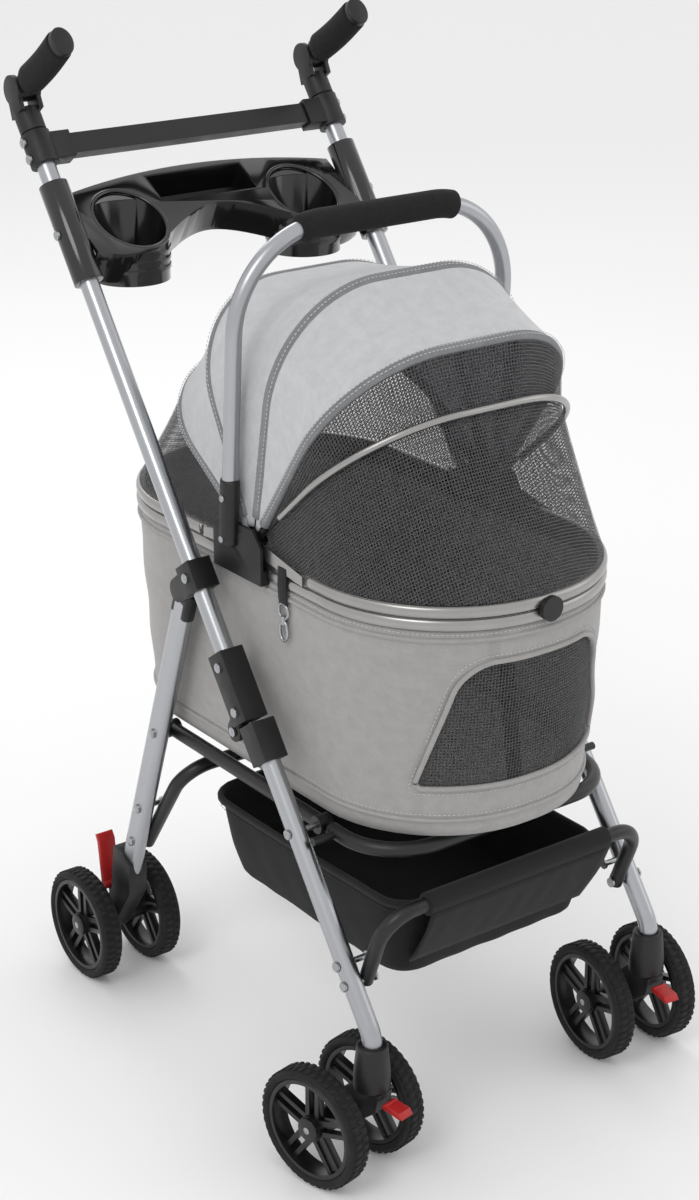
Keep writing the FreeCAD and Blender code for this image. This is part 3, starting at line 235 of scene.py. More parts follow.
# ---- materials -----------------------------------------------------------------------------------
def hard_finish(name, light, dark, patch_mm, grain_mm, grain_depth_mm, rough, swing, metallic=0.0,
                stretch=(1, 1, 1), coat=0.0, ior=1.5):
    """Moulded, painted, plated or anodised surface: colour patches, grain and uneven gloss."""
    made = bpy.data.materials.new(name)
    made.use_nodes = True
    tree = made.node_tree
    shader = tree.nodes["Principled BSDF"]
    place = add_node(tree, "ShaderNodeTexCoord")
    turned = add_node(tree, "ShaderNodeMapping", {"Scale": stretch}, {"Vector": place.outputs["Object"]})
    patches = add_node(tree, "ShaderNodeTexNoise", {"Scale": 1 / (patch_mm * MM), "Detail": 3.0},
                       {"Vector": turned.outputs[0]})
    colour = add_node(tree, "ShaderNodeMix", {"data_type": "RGBA", 6: linear(light), 7: linear(dark)},
                      {0: patches.outputs["Fac"]})
    grain = add_node(tree, "ShaderNodeTexNoise", {"Scale": 1 / (grain_mm * MM), "Detail": 2.0},
                     {"Vector": turned.outputs[0]})
    gloss = add_node(tree, "ShaderNodeMapRange", {"From Min": 0.3, "From Max": 0.7, "To Min": rough - swing,
                                                  "To Max": rough + swing}, {"Value": patches.outputs["Fac"]})
    bump = add_node(tree, "ShaderNodeBump", {"Strength": 0.5, "Distance": grain_depth_mm * MM},
                    {"Height": grain.outputs["Fac"]})
    tree.links.new(colour.outputs[2], shader.inputs["Base Color"])
    tree.links.new(gloss.outputs[0], shader.inputs["Roughness"])
    tree.links.new(bump.outputs[0], shader.inputs["Normal"])
    shader.inputs["Metallic"].default_value = metallic
    shader.inputs["Coat Weight"].default_value = coat
    shader.inputs["Coat Roughness"].default_value = 0.12
    if not metallic:
        shader.inputs["IOR"].default_value = ior
    return made


def cloth_finish(name, light, dark, thread_mm, depth_mm, sheen, open_share=0.0, on_surface=True, rough=0.9):
    """Woven or knitted cloth: two crossing sets of threads, slubs of tone, and holes if it is a net."""
    made = bpy.data.materials.new(name)
    made.use_nodes = True
    tree = made.node_tree
    shader = tree.nodes["Principled BSDF"]
    if on_surface:
        place = add_node(tree, "ShaderNodeUVMap", {"uv_map": UV_NAME}).outputs[0]
    else:
        place = add_node(tree, "ShaderNodeTexCoord").outputs["Object"]
    # a wave's bands lie pi / 10 apart at a scale of 1
    bands = math.pi / 10 / (thread_mm * MM)
    warp = add_node(tree, "ShaderNodeTexWave", {"bands_direction": "X", "Scale": bands, "Distortion": 0.6,
                                                "Detail Scale": 2.0}, {"Vector": place})
    weft = add_node(tree, "ShaderNodeTexWave", {"bands_direction": "Y", "Scale": bands, "Distortion": 0.6,
                                                "Detail Scale": 2.0}, {"Vector": place})
    threads = add_node(tree, "ShaderNodeMath", {"operation": "MAXIMUM"},
                       {0: warp.outputs["Fac"], 1: weft.outputs["Fac"]})
    slub = add_node(tree, "ShaderNodeTexNoise", {"Scale": 1 / (14 * MM), "Detail": 5.0, "Roughness": 0.7},
                    {"Vector": place})
    tone = add_node(tree, "ShaderNodeMath", {"operation": "MULTIPLY_ADD", 1: 0.55},
                    {0: threads.outputs[0], 2: slub.outputs["Fac"]})
    span = add_node(tree, "ShaderNodeMapRange", {"From Min": 0.35, "From Max": 1.15},
                    {"Value": tone.outputs[0]})
    colour = add_node(tree, "ShaderNodeMix", {"data_type": "RGBA", 6: linear(dark), 7: linear(light)},
                      {0: span.outputs[0]})
    bump = add_node(tree, "ShaderNodeBump", {"Strength": 0.6, "Distance": depth_mm * MM},
                    {"Height": threads.outputs[0]})
    tree.links.new(colour.outputs[2], shader.inputs["Base Color"])
    tree.links.new(bump.outputs[0], shader.inputs["Normal"])
    shader.inputs["Roughness"].default_value = rough
    shader.inputs["Sheen Weight"].default_value = sheen
    shader.inputs["Sheen Roughness"].default_value = 0.5
    if open_share:
        edge = {"From Min": open_share - 0.08, "From Max": open_share + 0.08, "To Min": 0.05, "To Max": 1.0}
        holes = add_node(tree, "ShaderNodeMapRange", edge, {"Value": threads.outputs[0]})
        tree.links.new(holes.outputs[0], shader.inputs["Alpha"])
    return made


# Satin anodised aluminium tube: pale, softly mirrored, drawn lines along it.
anodised_tube = hard_finish("anodised_aluminium", "#b9bbbe", "#a2a4a8", 40, 0.5, 0.004, 0.30, 0.05, 1.0,
                            (1, 0.12, 0.12))
# Glass-filled nylon from a textured mould: deep grey-black, dull, with a fine grain.
moulded_nylon = hard_finish("moulded_black_nylon", "#121213", "#0a0a0b", 26, 0.9, 0.05, 0.48, 0.08)
# Polished ABS of the tray: black, near mirror, faint flow marks.
polished_abs = hard_finish("polished_black_abs", "#131314", "#0d0d0e", 60, 3.0, 0.01, 0.16, 0.04, coat=0.4)
# Powder-coated steel hoops: black with a slight orange peel.
powder_coat = hard_finish("powder_coated_steel", "#131314", "#0b0b0c", 30, 1.6, 0.03, 0.36, 0.06)
# Zinc-plated rivets and screws: bright grey metal with a cloudy sheen.
zinc_plate = hard_finish("zinc_plated_steel", "#b9bbbd", "#8f9194", 3, 0.6, 0.01, 0.30, 0.08, 1.0)
# Red moulded polypropylene of the brake and lock levers.
red_lever = hard_finish("red_moulded_polypropylene", "#b5201f", "#9c1817", 12, 0.8, 0.03, 0.38, 0.06)
# Foamed EVA tyres: matt, dusty charcoal.
eva_tyre = hard_finish("foamed_eva_tyre", "#131314", "#0a0a0b", 14, 1.1, 0.12, 0.82, 0.06)
# Moulded nylon rims: black, a little smoother than the joints.
moulded_rim = hard_finish("moulded_rim_nylon", "#101011", "#09090a", 20, 0.9, 0.03, 0.34, 0.05)
# Closed-cell grip foam: dead matt black with fine cells.
grip_foam = hard_finish("closed_cell_foam", "#0f0f10", "#070708", 5, 0.7, 0.25, 0.93, 0.03)
# Champagne-silver lacquer on the carrier's steel ring: warm grey metal, clear and even.
champagne_lacquer = hard_finish("champagne_silver_lacquer", "#a9a8a6", "#999795", 34, 0.8, 0.006, 0.30, 0.04,
                                0.95)
# Heathered grey polyester canvas of the tub; threads drawn 1.3 mm apart so that they show.
tub_canvas = cloth_finish("heather_grey_canvas", "#a19f9d", "#8a8886", 1.3, 0.22, 0.25)
# Pale grey polyester of the canopy, finer than the tub's.
canopy_canvas = cloth_finish("pale_grey_canvas", "#c2c3c5", "#a4a5a8", 1.2, 0.16, 0.3)
# Mid-grey binding tape over the bows and seams, ribbed across.
binding_tape = cloth_finish("grey_binding_tape", "#858688", "#626366", 1.1, 0.25, 0.2)
# Black polyester net; holes drawn 3.2 mm apart, coarser than real ones, so that they show.
black_net = cloth_finish("black_polyester_net", "#4c4c4e", "#262627", 3.2, 0.1, 0.1, open_share=0.86)
# Black polyester oxford of the basket.
basket_oxford = cloth_finish("black_oxford", "#0c0c0d", "#050506", 1.4, 0.22, 0.05)
# Black polypropylene webbing of the straps.
black_webbing = cloth_finish("black_webbing", "#0f0f10", "#070708", 1.6, 0.35, 0.08)
# Brushed polyester of the floor pad; its pattern lies on the pad's plan.
pad_cloth = cloth_finish("grey_pad_cloth", "#a7a3a0", "#85817e", 1.5, 0.2, 0.35, on_surface=False)
# Sewing thread, pale grey and black.
pale_thread = hard_finish("pale_thread", "#d7d7d8", "#b0b0b2", 2, 0.5, 0.02, 0.7, 0.05)
black_thread = hard_finish("black_thread", "#3a3a3c", "#242425", 2, 0.5, 0.02, 0.7, 0.05)

SLOT_FINISH = {
    "tube": anodised_tube, "black_plastic": moulded_nylon, "gloss_plastic": polished_abs,
    "black_steel": powder_coat, "fastener": zinc_plate, "red_plastic": red_lever, "tyre": eva_tyre,
    "rim": moulded_rim, "foam": grip_foam, "tub_fabric": tub_canvas, "canopy_fabric": canopy_canvas,
    "mesh": black_net, "basket_fabric": basket_oxford, "pad_fabric": pad_cloth,
    "ring_metal": champagne_lacquer, "bow_piping": grip_foam,
}
for subpart in frame["record"]["subparts"]:
    shown = frame["nodes"][subpart["node"]]
    shown.data.materials.clear()
    shown.data.materials.append(SLOT_FINISH[subpart["material_slot"]])

# ---- moulded joints, levers and rims: rounded copies of the CAD ----------------------------------
softened("lower_knuckle_mouldings", moulded_nylon, "front_frame", ["lower_knuckles"])
softened("caster_housing_mouldings", moulded_nylon, "front_frame", ["caster_housings"], 1.6)
softened("upper_knuckle_mouldings", moulded_nylon, "push_handle", ["push_tube_clamps"])
softened("handle_tee_mouldings", moulded_nylon, "push_handle", ["handle_tees"], 1.4)
softened("grip_socket_mouldings", moulded_nylon, "push_handle", ["grip_sockets"], 1.2)
softened("tray_moulding", polished_abs, "push_handle", ["parent_tray"], 0.8)
softened("rear_leg_cap_mouldings", moulded_nylon, "rear_frame", ["rear_leg_caps"], 0.8)
softened("axle_housing_mouldings", moulded_nylon, "rear_frame", ["axle_housings"], 2.0)
softened("side_bracket_plates", moulded_nylon, "carrier", ["side_brackets"], 0.7)
for side in ("left", "right"):
    softened("caster_fork_moulding_" + side, moulded_nylon, "caster_" + side,
             ["caster_fork_" + side], 2.0)
    softened("caster_lock_lever_" + side, red_lever, "caster_lock_" + side,
             ["caster_lock_" + side], 0.8)
    softened("brake_pedal_" + side, red_lever, "brake_" + side, ["brake_lever_" + side], 0.9)
    softened("knuckle_latch_key_" + side, moulded_nylon, "knuckle_latch_" + side,
             ["knuckle_latch_" + side], 0.9)
    for end in ("front", "rear"):
        softened("%s_rim_mouldings_%s" % (end, side), moulded_rim, "%s_wheels_%s" % (end, side),
                 ["%s_%s_rims" % (end, side)], 0.8)


# ---- repeated parts by geometry nodes ------------------------------------------------------------
def tree_with(name, inputs):
    """Geometry node tree with a geometry input, named sizes and a geometry output."""
    tree = bpy.data.node_groups.new(name, "GeometryNodeTree")
    tree.interface.new_socket("Geometry", in_out="INPUT", socket_type="NodeSocketGeometry")
    for label, (kind, value) in inputs.items():
        socket = tree.interface.new_socket(label, in_out="INPUT", socket_type=kind)
        socket.default_value = value
    tree.interface.new_socket("Geometry", in_out="OUTPUT", socket_type="NodeSocketGeometry")
    return tree, add_node(tree, "NodeGroupInput"), add_node(tree, "NodeGroupOutput")


def close_tree(tree, end, shape, material):
    """Make instances real and give them their material."""
    real = add_node(tree, "GeometryNodeRealizeInstances", links={0: shape})
    coat = add_node(tree, "GeometryNodeSetMaterial", {"Material": material}, {"Geometry": real.outputs[0]})
    smooth = add_node(tree, "GeometryNodeSetShadeSmooth", {"Shade Smooth": True}, {0: coat.outputs[0]})
    tree.links.new(smooth.outputs[0], end.inputs[0])


def run_tree(piece, tree, sizes):
    """Apply a tree to a piece with its sizes set by their sockets' identifiers."""
    modifier = piece.modifiers.new("Repeat", "NODES")
    modifier.node_group = tree
    known = {item.name: item.identifier for item in tree.interface.items_tree
             if item.item_type == "SOCKET" and item.in_out == "INPUT"}
    for label, value in sizes.items():
        modifier[known[label]] = value
    return bake_modifiers(piece)


def heads_tree(material):
    """Domed heads on points, each facing along the point's own facing attribute."""
    tree, start, end = tree_with("domed_heads", {"Radius": ("NodeSocketFloat", 0.005),
                                                 "Height": ("NodeSocketFloat", 0.002)})
    ball = add_node(tree, "GeometryNodeMeshUVSphere", {"Segments": 18, "Rings": 10, "Radius": 1.0})
    wide, high = start.outputs["Radius"], start.outputs["Height"]
    shape = add_node(tree, "ShaderNodeCombineXYZ", links={0: wide, 1: wide, 2: high})
    squat = add_node(tree, "GeometryNodeTransform", links={"Geometry": ball.outputs["Mesh"],
                                                           "Scale": shape.outputs[0]})
    facing = add_node(tree, "GeometryNodeInputNamedAttribute",
                      {"data_type": "FLOAT_VECTOR", "Name": "facing"})
    turn = add_node(tree, "FunctionNodeAlignRotationToVector", {"axis": "Z"}, {"Vector": facing.outputs[0]})
    put = add_node(tree, "GeometryNodeInstanceOnPoints",
                   links={"Points": start.outputs["Geometry"], "Instance": squat.outputs[0],
                          "Rotation": turn.outputs[0]})
    close_tree(tree, end, put.outputs[0], material)
    return tree


def stitches_tree(material):
    """Stitches laid end to end along a line, with a gap between them."""
    tree, start, end = tree_with("stitch_row", {"Pitch": ("NodeSocketFloat", 0.005),
                                                "Length": ("NodeSocketFloat", 0.0034),
                                                "Thread": ("NodeSocketFloat", 0.0004)})
    line = add_node(tree, "GeometryNodeMeshToCurve", links={0: start.outputs["Geometry"]})
    spots = add_node(tree, "GeometryNodeCurveToPoints", {"mode": "LENGTH"},
                     {"Curve": line.outputs[0], "Length": start.outputs["Pitch"]})
    bead = add_node(tree, "GeometryNodeMeshUVSphere", {"Segments": 6, "Rings": 4, "Radius": 0.5})
    thick = add_node(tree, "ShaderNodeMath", {"operation": "MULTIPLY", 1: 2.0}, {0: start.outputs["Thread"]})
    shape = add_node(tree, "ShaderNodeCombineXYZ", links={0: thick.outputs[0], 1: thick.outputs[0],
                                                          2: start.outputs["Length"]})
    long = add_node(tree, "GeometryNodeTransform", links={"Geometry": bead.outputs["Mesh"],
                                                          "Scale": shape.outputs[0]})
    turn = add_node(tree, "FunctionNodeAlignRotationToVector", {"axis": "Z"},
                    {"Vector": spots.outputs["Tangent"]})
    put = add_node(tree, "GeometryNodeInstanceOnPoints",
                   links={"Points": spots.outputs["Points"], "Instance": long.outputs[0],
                          "Rotation": turn.outputs[0]})
    close_tree(tree, end, put.outputs[0], material)
    return tree


def tread_tree(material):
    """Tread blocks in two staggered rows round the wheel's axis, added to the bare tyre."""
    sizes = {"Radius": 0.06, "Row": 0.005, "Long": 0.005, "Wide": 0.007, "Deep": 0.002}
    inputs = {"Blocks": ("NodeSocketInt", 44)}
    inputs.update({label: ("NodeSocketFloat", value) for label, value in sizes.items()})
    tree, start, end = tree_with("tyre_tread", inputs)
    ring = add_node(tree, "GeometryNodeMeshCircle", links={"Vertices": start.outputs["Blocks"],
                                                           "Radius": start.outputs["Radius"]})
    place = add_node(tree, "GeometryNodeInputPosition")
    size = add_node(tree, "ShaderNodeCombineXYZ", links={0: start.outputs["Deep"], 1: start.outputs["Long"],
                                                         2: start.outputs["Wide"]})
    brick = add_node(tree, "GeometryNodeMeshCube", links={"Size": size.outputs[0]})
    turn = add_node(tree, "FunctionNodeAlignRotationToVector", {"axis": "X"}, {"Vector": place.outputs[0]})
    put = add_node(tree, "GeometryNodeInstanceOnPoints",
                   links={"Points": ring.outputs[0], "Instance": brick.outputs["Mesh"],
                          "Rotation": turn.outputs[0]})
    half_step = add_node(tree, "ShaderNodeMath", {"operation": "DIVIDE", 0: math.pi},
                         {1: start.outputs["Blocks"]})
    stagger = add_node(tree, "ShaderNodeCombineXYZ", links={2: half_step.outputs[0]})
    back = add_node(tree, "ShaderNodeMath", {"operation": "MULTIPLY", 1: -1.0}, {0: start.outputs["Row"]})
    low = add_node(tree, "ShaderNodeCombineXYZ", links={2: back.outputs[0]})
    high = add_node(tree, "ShaderNodeCombineXYZ", links={2: start.outputs["Row"]})
    near = add_node(tree, "GeometryNodeTransform",
                    links={"Geometry": put.outputs[0], "Translation": low.outputs[0]})
    far = add_node(tree, "GeometryNodeTransform",
                   links={"Geometry": put.outputs[0], "Translation": high.outputs[0],
                          "Rotation": stagger.outputs[0]})
    both = add_node(tree, "GeometryNodeJoinGeometry")
    for socket in (start.outputs["Geometry"], near.outputs[0], far.outputs[0]):
        tree.links.new(socket, both.inputs[0])
    close_tree(tree, end, both.outputs[0], material)
    return tree


head_maker = heads_tree(zinc_plate)
pale_stitcher = stitches_tree(pale_thread)
black_stitcher = stitches_tree(black_thread)
tread_maker = tread_tree(eva_tyre)


def stitch_row(name, path, body, stitcher, pitch_mm=5.0, closed=False):
    """Row of stitches along a path."""
    count = len(path)
    mesh = bpy.data.meshes.new(name)
    edges = [(i, (i + 1) % count) for i in range(count if closed else count - 1)]
    mesh.from_pydata([tuple(p) for p in path], edges, [])
    row = bpy.data.objects.new(name, mesh)
    scene.collection.objects.link(row)
    run_tree(row, stitcher, {"Pitch": pitch_mm * MM, "Length": pitch_mm * 0.68 * MM, "Thread": 0.45 * MM})
    return finished(row, body)


def islands(node):
    """Boxes of the separate solids in a CAD node."""
    work = bmesh.new()
    work.from_mesh(frame["nodes"][node].data)
    bmesh.ops.remove_doubles(work, verts=work.verts, dist=CAD_MERGE)
    seen, boxes = set(), []
    for vert in work.verts:
        if vert in seen:
            continue
        stack, points = [vert], []
        seen.add(vert)
        while stack:
            here = stack.pop()
            points.append(here.co.copy())
            for edge in here.link_edges:
                other = edge.other_vert(here)
                if other not in seen:
                    seen.add(other)
                    stack.append(other)
        boxes.append((Vector([min(p[i] for p in points) for i in range(3)]),
                      Vector([max(p[i] for p in points) for i in range(3)])))
    work.free()
    return boxes


def domes_on(node, body, name, radius_mm):
    """Domed heads over the outer ends of a node's rivets or screws."""
    spots = []
    for low, high in islands(node):
        middle = (low + high) / 2
        sign = 1 if middle.x > 0 else -1
        spots.append((Vector((high.x if sign > 0 else low.x, middle.y, middle.z)), Vector((sign, 0, 0))))
    mesh = bpy.data.meshes.new(name)
    mesh.from_pydata([tuple(p) for p, _ in spots], [], [])
    facing = mesh.attributes.new("facing", "FLOAT_VECTOR", "POINT")
    for i, (_, direction) in enumerate(spots):
        facing.data[i].vector = direction
    heads = bpy.data.objects.new(name, mesh)
    scene.collection.objects.link(heads)
    run_tree(heads, head_maker, {"Radius": radius_mm * MM, "Height": 1.3 * MM})
    return finished(heads, body)


domes_on("frame_rivets", "front_frame", "frame_rivet_domes", 4.9)
domes_on("rear_rivets", "rear_frame", "rear_rivet_domes", 4.9)
domes_on("handle_screws", "push_handle", "handle_screw_domes", 4.9)


# ---- tyres ---------------------------------------------------------------------------------------
def bare_tyre(outer, inner, width):
    """Tyre about local Z with a crowned tread and rounded shoulders."""
    half = width / 2
    side = [(inner, 0.82), (inner + 3 * MM, 0.96), (outer - 5 * MM, 1), (outer - 2 * MM, 0.8),
            (outer - MM, 0.4)]
    profile = ([(r, -half * share) for r, share in side] + [(outer - 0.8 * MM, 0.0)]
               + [(r, half * share) for r, share in reversed(side)])
    steps, count = 72, len(profile)
    points = [(r * math.cos(2 * math.pi * i / steps), r * math.sin(2 * math.pi * i / steps), z)
              for i in range(steps) for r, z in profile]
    faces = [(i * count + k, i * count + (k + 1) % count, (i + 1) % steps * count + (k + 1) % count,
              (i + 1) % steps * count + k) for i in range(steps) for k in range(count)]
    return outward(mesh_object("tyre", points, faces, eva_tyre))


TYRE_WIDE, TYRE_DEEP = 24 * MM, 10 * MM
TREAD_ROW, TREAD_LONG, TREAD_WIDE, TREAD_DEEP = 4.6 * MM, 4.6 * MM, 8.2 * MM, 2.2 * MM
HUB_FACE = 8.2 * MM     # hub cap's seat, out from the wheel's middle
for end in ("front", "rear"):
    for side in ("left", "right"):
        node = "%s_%s_tyres" % (end, side)
        body = "%s_wheels_%s" % (end, side)
        joint = joints["%s_wheel_spin_%s" % (end, side)]
        centre, axis = Vector(joint["pos_m"]), Vector(joint["axis"]).normalized()
        low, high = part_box(node)
        outer = (high.z - low.z) / 2
        reach = max((v.co - centre).dot(axis) for v in frame["nodes"][node].data.vertices) - TYRE_WIDE / 2
        pair = []
        for sign in (-1, 1):
            tyre = bare_tyre(outer, outer - TYRE_DEEP, TYRE_WIDE)
            run_tree(tyre, tread_maker, {"Blocks": 46, "Radius": outer - 1.3 * MM, "Row": TREAD_ROW,
                                         "Long": TREAD_LONG, "Wide": TREAD_WIDE, "Deep": TREAD_DEEP})
            turn = Vector((0, 0, 1)).rotation_difference(axis).to_matrix().to_4x4()
            tyre.data.transform(Matrix.Translation(centre + axis * reach * sign) @ turn)
            pair.append(tyre)
        finished(joined("%s_treaded_tyres_%s" % (end, side), pair), body, [node])
        caps = []
        for sign in (-1, 1):
            hub = centre + axis * (reach + HUB_FACE) * sign
            out = axis * sign
            cap = tube_on("hub_cap", [hub, hub + out * 2.2 * MM], 12.2 * MM, moulded_rim, sides=28,
                          up=(0, 0.3, 1), round_ends=0.16)
            nut = tube_on("axle_end", [hub + out * 2 * MM, hub + out * 3.2 * MM], 4.4 * MM, zinc_plate,
                          sides=20, up=(0, 0.3, 1), round_ends=0.3)
            caps += [cap, nut]
        finished(joined("%s_hub_caps_%s" % (end, side), caps), body)

# ---- grips and carry handle foam -----------------------------------------------------------------
GRIP_RISE, GRIP_SHAPE = math.radians(34), 32 / 26
GRIP_BOW = 1.6 * MM     # the foam rises this much in its middle
for side in ("left", "right"):
    hinge = Vector(joints["grip_turn_" + side]["pos_m"])
    low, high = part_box("grip_" + side)
    spots = [v.co for v in frame["nodes"]["grip_" + side].data.vertices]
    tip = max(spots, key=lambda spot: (spot - hinge).length)
    along = Vector((0, -math.cos(GRIP_RISE), math.sin(GRIP_RISE)))
    long = (tip - hinge).dot(along)
    wide = (high.x - low.x) / 2
    deep = wide * GRIP_SHAPE
    across = Vector((1, 0, 0)).cross(along)
    shares = [i / 14 for i in range(15)]
    foam_path = [hinge + along * (22 * MM + (long - 34 * MM) * share)
                 + across * (GRIP_BOW * math.sin(math.pi * share)) for share in shares]
    foam = tube_on("grip_foam", foam_path, wide, grip_foam, high=deep, up=across, sides=28, round_ends=0.35)
    cap = tube_on("grip_cap", [hinge + along * (long - 9 * MM), hinge + along * (long - 2.5 * MM)],
                  wide * 0.9, moulded_nylon, high=deep * 0.92, up=across, sides=28, round_ends=0.18)
    collar = tube_on("grip_collar", [hinge + along * 13 * MM, hinge + along * 21 * MM], wide * 0.82,
                     moulded_nylon, high=deep * 0.84, up=across, sides=28, round_ends=0.1)
    tongue = tube_on("grip_tongue", [hinge - along * 3 * MM, hinge + along * 14 * MM], 7.2 * MM,
                     moulded_nylon, high=8 * MM, up=across, sides=20, round_ends=0.6)
    half_eye = Vector((7.2 * MM, 0, 0))
    eye = tube_on("grip_eye", [hinge - half_eye, hinge + half_eye], 12.6 * MM, moulded_nylon, sides=32,
                  round_ends=0.04)
    grip = joined("hinged_grip_" + side, [foam, cap, collar, tongue, eye])
    finished(grip, "grip_" + side, ["grip_" + side])

CARRY_R, CARRY_BEND, CARRY_FOAM_R = 8 * MM, 96 * MM, 13.8 * MM
carry_tube_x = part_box("carry_handle")[1].x - CARRY_R
foam_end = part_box("carry_foam")[1].x - 12 * MM
carry_pivot = Vector(joints["carry_handle_swing"]["pos_m"])
crown_points = [v.co for v in frame["nodes"]["carry_foam"].data.vertices if abs(v.co.x) < 66 * MM]
crown = sum((Vector((0, p.y, p.z)) for p in crown_points), Vector()) / len(crown_points)
carry_out = (crown - Vector((0, carry_pivot.y, carry_pivot.z))).normalized()
flat_half = carry_tube_x - CARRY_BEND
foam_line = []
reach_angle = math.asin(min(0.9, max(0, (foam_end - flat_half) / CARRY_BEND)))
for i in range(-10, 11):
    angle = reach_angle * max(0, (abs(i) - 6) / 4)
    x = flat_half * min(1, abs(i) / 6) + CARRY_BEND * math.sin(angle)
    drop = CARRY_BEND * (1 - math.cos(angle))
    foam_line.append(Vector((math.copysign(x, i) if i else 0, 0, 0)) + crown - carry_out * drop)
carry_grip = tube_on("carry_grip_foam", foam_line, CARRY_FOAM_R, grip_foam, sides=28, up=carry_out,
                     round_ends=0.3)
finished(carry_grip, "carry_handle", ["carry_foam"])

# ---- carrier tub ---------------------------------------------------------------------------------
ring_low, ring_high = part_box("lower_ring")
tub_low, tub_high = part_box("tub")
net_low, net_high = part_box("window_mesh")
ring_mid = (ring_low.y + ring_high.y) / 2
half_x, half_y = ring_high.x, (ring_high.y - ring_low.y) / 2
TAPER = 16 * MM
FLAT = 7 * MM           # straight run at the front's and rear's middle, to each side
SOFT_MERGE = 1e-5


def outline_spot(d, hx, hy, z):
    """Point, outward direction and whole length of the carrier's outline, d round from the front's middle."""
    corner = hx - FLAT
    side_run = 2 * (hy - corner)
    turn = corner * math.pi / 2
    total = 2 * (FLAT * 2 + side_run) + 4 * turn
    d = d % total
    mirror = d > total / 2
    d = total - d if mirror else d
    if d < FLAT:
        p, n = Vector((d, ring_mid - hy, z)), Vector((0, -1, 0))
    elif d < FLAT + turn:
        a = (d - FLAT) / corner
        n = Vector((math.sin(a), -math.cos(a), 0))
        p = Vector((FLAT, ring_mid - hy + corner, z)) + n * corner
    elif d < FLAT + turn + side_run:
        p, n = Vector((hx, ring_mid - hy + corner + d - FLAT - turn, z)), Vector((1, 0, 0))
    elif d < FLAT + 2 * turn + side_run:
        a = (d - FLAT - turn - side_run) / corner
        n = Vector((math.cos(a), math.sin(a), 0))
        p = Vector((FLAT, ring_mid + hy - corner, z)) + n * corner
    else:
        p, n = Vector((total / 2 - d, ring_mid + hy, z)), Vector((0, 1, 0))
    if mirror:
        p.x, n.x = -p.x, -n.x
    return p, n, total


def around(distance, z, inset=0.0):
    """The same on the tub's tapered wall."""
    share = (z - tub_low.z) / (tub_high.z - tub_low.z)
    narrow = TAPER * (1 - share)
    return outline_spot(distance, half_x - narrow / 2 - inset, half_y - narrow - inset, z)


WIN_ROUND_TOP, WIN_ROUND_LOW = 30 * MM, 9 * MM
WALL_BEND = 142 * MM    # radius of the wall round the window
win_wide = FLAT + WALL_BEND * math.asin((net_high.x - FLAT) / WALL_BEND)
WIN_TOP_SHARE = 0.66


def window_edge(z):
    """Half width of the window at height z, measured round the wall."""
    share = (z - net_low.z) / (net_high.z - net_low.z)
    width = win_wide * (1 - (1 - WIN_TOP_SHARE) * share)
    for radius, over in ((WIN_ROUND_TOP, z - net_high.z), (WIN_ROUND_LOW, net_low.z - z)):
        over = min(radius, over + radius)
        if over > 0:
            width -= radius - math.sqrt(radius ** 2 - over ** 2)
    return width


def puff(d, z):
    """How far the padded wall stands in or out of its frame, a soft belly with slack."""
    share = (z - tub_low.z) / (tub_high.z - tub_low.z)
    slack = wobble(d * 14, z * 40, d * 5)
    return (1.0 + 1.5 * slack) * MM * math.sin(math.pi * min(1, max(0, share)))


WIN_COLS, WALL_COLS = 28, 120
WIN_ROWS = 18


def window_heights(count):
    """Heights from the window's foot to its top, closer together at its round corners."""
    return [net_low.z + (net_high.z - net_low.z) * (0.5 - 0.5 * math.cos(math.pi * i / count))
            for i in range(count + 1)]


steps_low = [tub_low.z + (net_low.z - tub_low.z) * i / 6 for i in range(6)]
steps_mid = window_heights(WIN_ROWS)
steps_top = [net_high.z + (tub_high.z - net_high.z) * i / 4 for i in range(1, 5)]
levels = steps_low + steps_mid + steps_top


def wall_spot(column, z):
    """Distance round the wall of a column of points, so that columns follow the window's edge."""
    total = around(0, z)[2]
    edge = window_edge(min(net_high.z, max(net_low.z, z)))
    if column <= 2 * WIN_COLS:
        d = edge * (column - WIN_COLS) / WIN_COLS
    else:
        d = edge + (total - 2 * edge) * (column - 2 * WIN_COLS) / WALL_COLS
    return d


columns = 2 * WIN_COLS + WALL_COLS
points, uvs, faces = [], [], []
for z in levels:
    for column in range(columns):
        d = wall_spot(column, z)
        p, n, _ = around(d, z)
        points.append(p + n * puff(d, z))
        uvs.append((d, z))
low_row, high_row = len(steps_low), len(steps_low) + WIN_ROWS
for i in range(len(levels) - 1):
    for k in range(columns):
        quad = (i * columns + k, i * columns + (k + 1) % columns, (i + 1) * columns + (k + 1) % columns,
                (i + 1) * columns + k)
        if not (low_row <= i < high_row and k < 2 * WIN_COLS):
            faces.append(quad)
# base: rings that close towards the middle, with a rounded edge
base_rings = 6
for step in range(1, base_rings + 1):
    for column in range(columns):
        p = around(wall_spot(column, tub_low.z), tub_low.z)[0]
        middle = Vector((0, ring_mid + (p.y - ring_mid) * 0.62, tub_low.z))
        points.append(p.lerp(middle, step / base_rings))
        uvs.append((p.x * (1 - step / base_rings), p.y))
wall_count = len(levels) * columns
for step in range(base_rings):
    above = wall_count + (step - 1) * columns if step else 0
    below = wall_count + step * columns
    for k in range(columns):
        n = (k + 1) % columns
        faces.append((above + k, below + k, below + n, above + n))
tub_wall = outward(mesh_object("tub_canvas_shell", points, faces, tub_canvas, uvs), SOFT_MERGE)
side_facing = sum((face.normal for face in tub_wall.data.polygons if face.center.x > 0.1), Vector())
if side_facing.x < 0:
    tub_wall.data.flip_normals()
wall = tub_wall.modifiers.new("Padding", "SOLIDIFY")
wall.thickness, wall.offset, wall.use_even_offset = 3.2 * MM, -1, True
bake_modifiers(tub_wall)
finished(tub_wall, "carrier", ["tub"])

